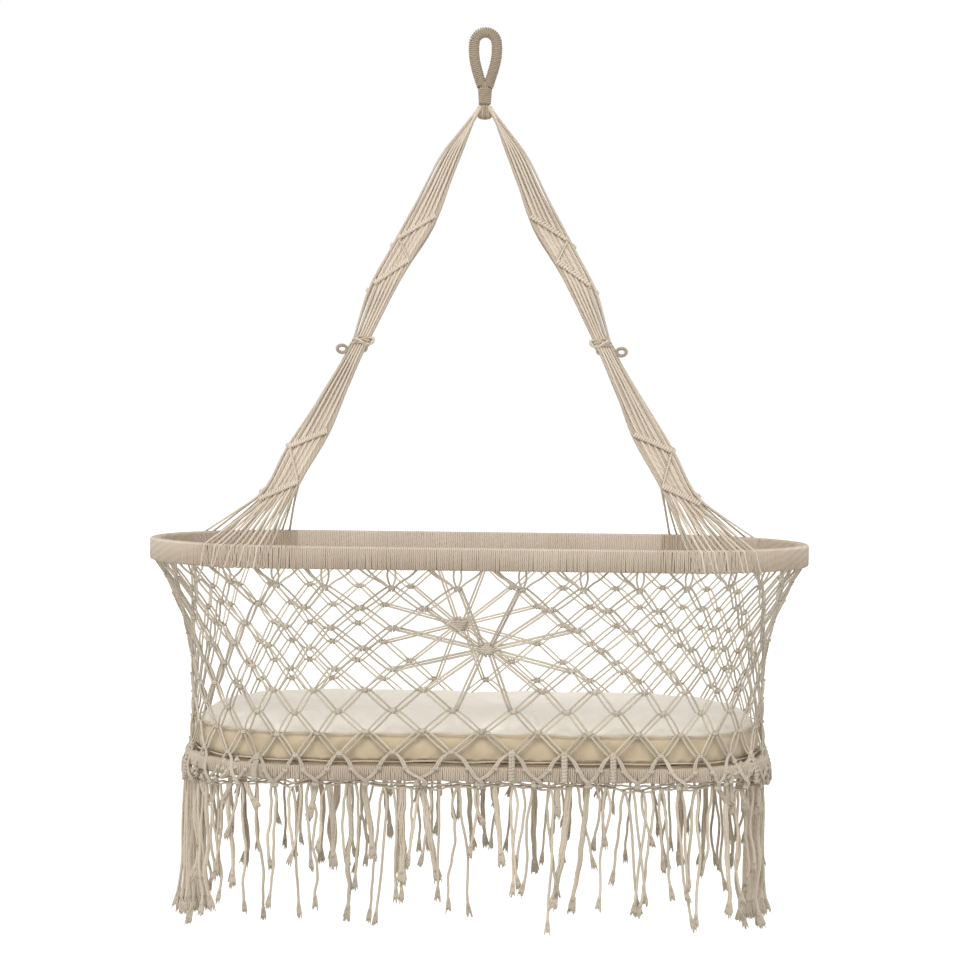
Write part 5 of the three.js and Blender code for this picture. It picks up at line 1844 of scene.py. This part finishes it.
@dataclass
class Studio:
    """A white room with soft light from above, and the camera of the picture."""

    floor_height: float = -1.55
    floor_size: float = 60
    floor_glow: float = 0.34
    sky: float = 0.80
    sun: float = 1.6
    sun_softness: float = 35
    sun_angles: tuple[float, float] = (38, -14)
    lens: float = 73.71
    distance: float = 2.7
    height: float = -0.551
    tilt: float = 1.186
    roll: float = 0.70
    aside: float = -0.0003

    def build(self) -> None:
        """Sets the floor, the light and the camera."""
        bpy.context.scene.view_settings.view_transform = "Standard"
        self.floor()
        self.room()
        self.lamp()
        self.camera()

    def floor(self) -> None:
        """Lays the pale floor, which glows for the camera alone."""
        select_only(next(iter(frame["nodes"].values())))
        bpy.ops.mesh.primitive_plane_add(size=self.floor_size, location=(0, 0, self.floor_height))
        floor = bpy.context.object
        floor.name = "studio_floor"
        maker = ShaderMaker("pale_floor")
        seen = maker.value("ShaderNodeLightPath", output="Is Camera Ray")
        maker.settle(Base_Color=(0.8, 0.8, 0.79, 1), Roughness=0.9, Specular_IOR_Level=0.0)
        maker.settle(Emission_Color=(1, 1, 1, 1), Emission_Strength=seen * self.floor_glow)
        floor.data.materials.append(maker.material)

    def room(self) -> None:
        """Makes the white surroundings: plain white where they are seen, and a soft light elsewhere."""
        world = bpy.data.worlds.new("white_room")
        world.use_nodes = True
        bpy.context.scene.world = world
        world.node_tree.nodes.clear()
        maker = NodeMaker(world.node_tree)
        rays = maker.node("ShaderNodeLightPath").outputs
        seen, mirrored = (Value(maker, rays[f"Is {ray} Ray"]) for ray in ("Camera", "Glossy"))
        looks = ({"Color": (1.0, 0.99, 0.97, 1), "Strength": self.sky}, {"Color": (1, 1, 1, 1)})
        light, shown = (maker.node("ShaderNodeBackground", None, look).outputs[0] for look in looks)
        mix = maker.node("ShaderNodeMixShader", None, {0: seen.larger(mirrored), 1: light, 2: shown})
        maker.node("ShaderNodeOutputWorld", None, {0: mix.outputs[0]})

    def lamp(self) -> None:
        """Hangs the large soft lamp over the cradle."""
        lamp = bpy.data.lights.new("soft_sun", "SUN")
        lamp.energy, lamp.angle, lamp.color = self.sun, math.radians(self.sun_softness), (1.0, 0.985, 0.96)
        tilt, turn = (math.radians(angle) for angle in self.sun_angles)
        added("soft_sun", lamp).rotation_euler = (tilt, turn, 0)

    def camera(self) -> None:
        """Puts the camera where the picture was taken, a little turned about its own line of sight."""
        data = bpy.data.cameras.new("picture")
        data.lens, data.sensor_width = self.lens, 36.0
        data.clip_start, data.clip_end = 0.05, 100
        down, turn = math.radians(self.tilt), math.radians(self.roll)
        ahead = Vector((0, math.cos(down), -math.sin(down)))
        up = Vector((0, math.sin(down), math.cos(down)))
        right = ahead.cross(up)
        top = up * math.cos(turn) - right * math.sin(turn)
        aside = right * math.cos(turn) + up * math.sin(turn)
        camera = added("picture", data)
        spot = Matrix.Translation((self.aside, -self.distance, self.height))
        camera.matrix_world = spot @ Matrix((aside, top, -ahead)).transposed().to_4x4()
        bpy.context.scene.camera = camera


@dataclass
class Windings:
    """The wound rim and base, each in its stretches."""

    hitch_angle: float = 12
    rim_tones: tuple[float, float, float] = (0.88, 0.02, 0.15)
    base_tone: float = 0.24
    hitch_wild: float = 0.6
    rim_wild: float = 0.08

    def build_rim(self, rim: WoundHoop) -> None:
        """Winds the rim, with the strap hitches between its plain stretches.

        Args:
            rim: The rim.
        """
        half, turn = PLAN.straight_half, math.radians(self.hitch_angle) * rim.radius
        back = half + math.pi * rim.radius
        stretches = {
            "rim_wrap_front": (-half, half),
            "strap_hitch_front_right": (half, half + 3 * turn),
            "rim_wrap_right_end": (half + 3 * turn, back - 5 * turn),
            "strap_hitch_back_right": (back - 5 * turn, back - turn),
            "rim_wrap_back": (back - turn, back + 2 * half + turn),
            "strap_hitch_back_left": (-(back - turn), -(back - 5 * turn)),
            "rim_wrap_left_end": (-(back - 5 * turn), -(half + 3 * turn)),
            "strap_hitch_front_left": (-(half + 3 * turn), -half),
        }
        at_back, at_ends, elsewhere = self.rim_tones
        for node, (start, end) in stretches.items():
            tone = at_back if node == "rim_wrap_back" else at_ends if "end" in node else elsewhere
            rim.wind(node, start, end, tone, self.hitch_wild if "hitch" in node else self.rim_wild)

    def build_base(self, base: WoundHoop) -> None:
        """Winds the base: both straights and both bends.

        Args:
            base: The base.
        """
        half = PLAN.straight_half
        back = half + math.pi * base.radius
        stretches = {
            "base_wrap_front": (-half, half),
            "base_wrap_right_end": (half, back),
            "base_wrap_back": (back, back + 2 * half),
            "base_wrap_left_end": (-back, -half),
        }
        for node, (start, end) in stretches.items():
            base.wind(node, start, end, self.base_tone)


def main() -> None:
    """Builds the cradle, from its camera and cords to its mattress."""
    logging.basicConfig(level=logging.INFO, format="%(name)s: %(message)s")
    Studio().build()
    # The rim takes the full painted highlight along its upper outer edge
    rim = WoundHoop(radius=0.218, top=-0.688, height=0.030, painted_highlight=1.0)
    base = WoundHoop(radius=0.168, top=-0.974, height=0.019, pitch=0.0028)
    HangingLoop().build()
    for side_name, side in (("left", -1), ("right", 1)):
        for face_name, face in (("front", -1), ("back", 1)):
            Strap(f"{face_name}_{side_name}", side, face, rim).build()
    Net().build()
    windings = Windings()
    windings.build_rim(rim)
    windings.build_base(base)
    Fringe().build()
    BaseSupport().build()
    Mattress().build()


if __name__ == "__main__":
    main()
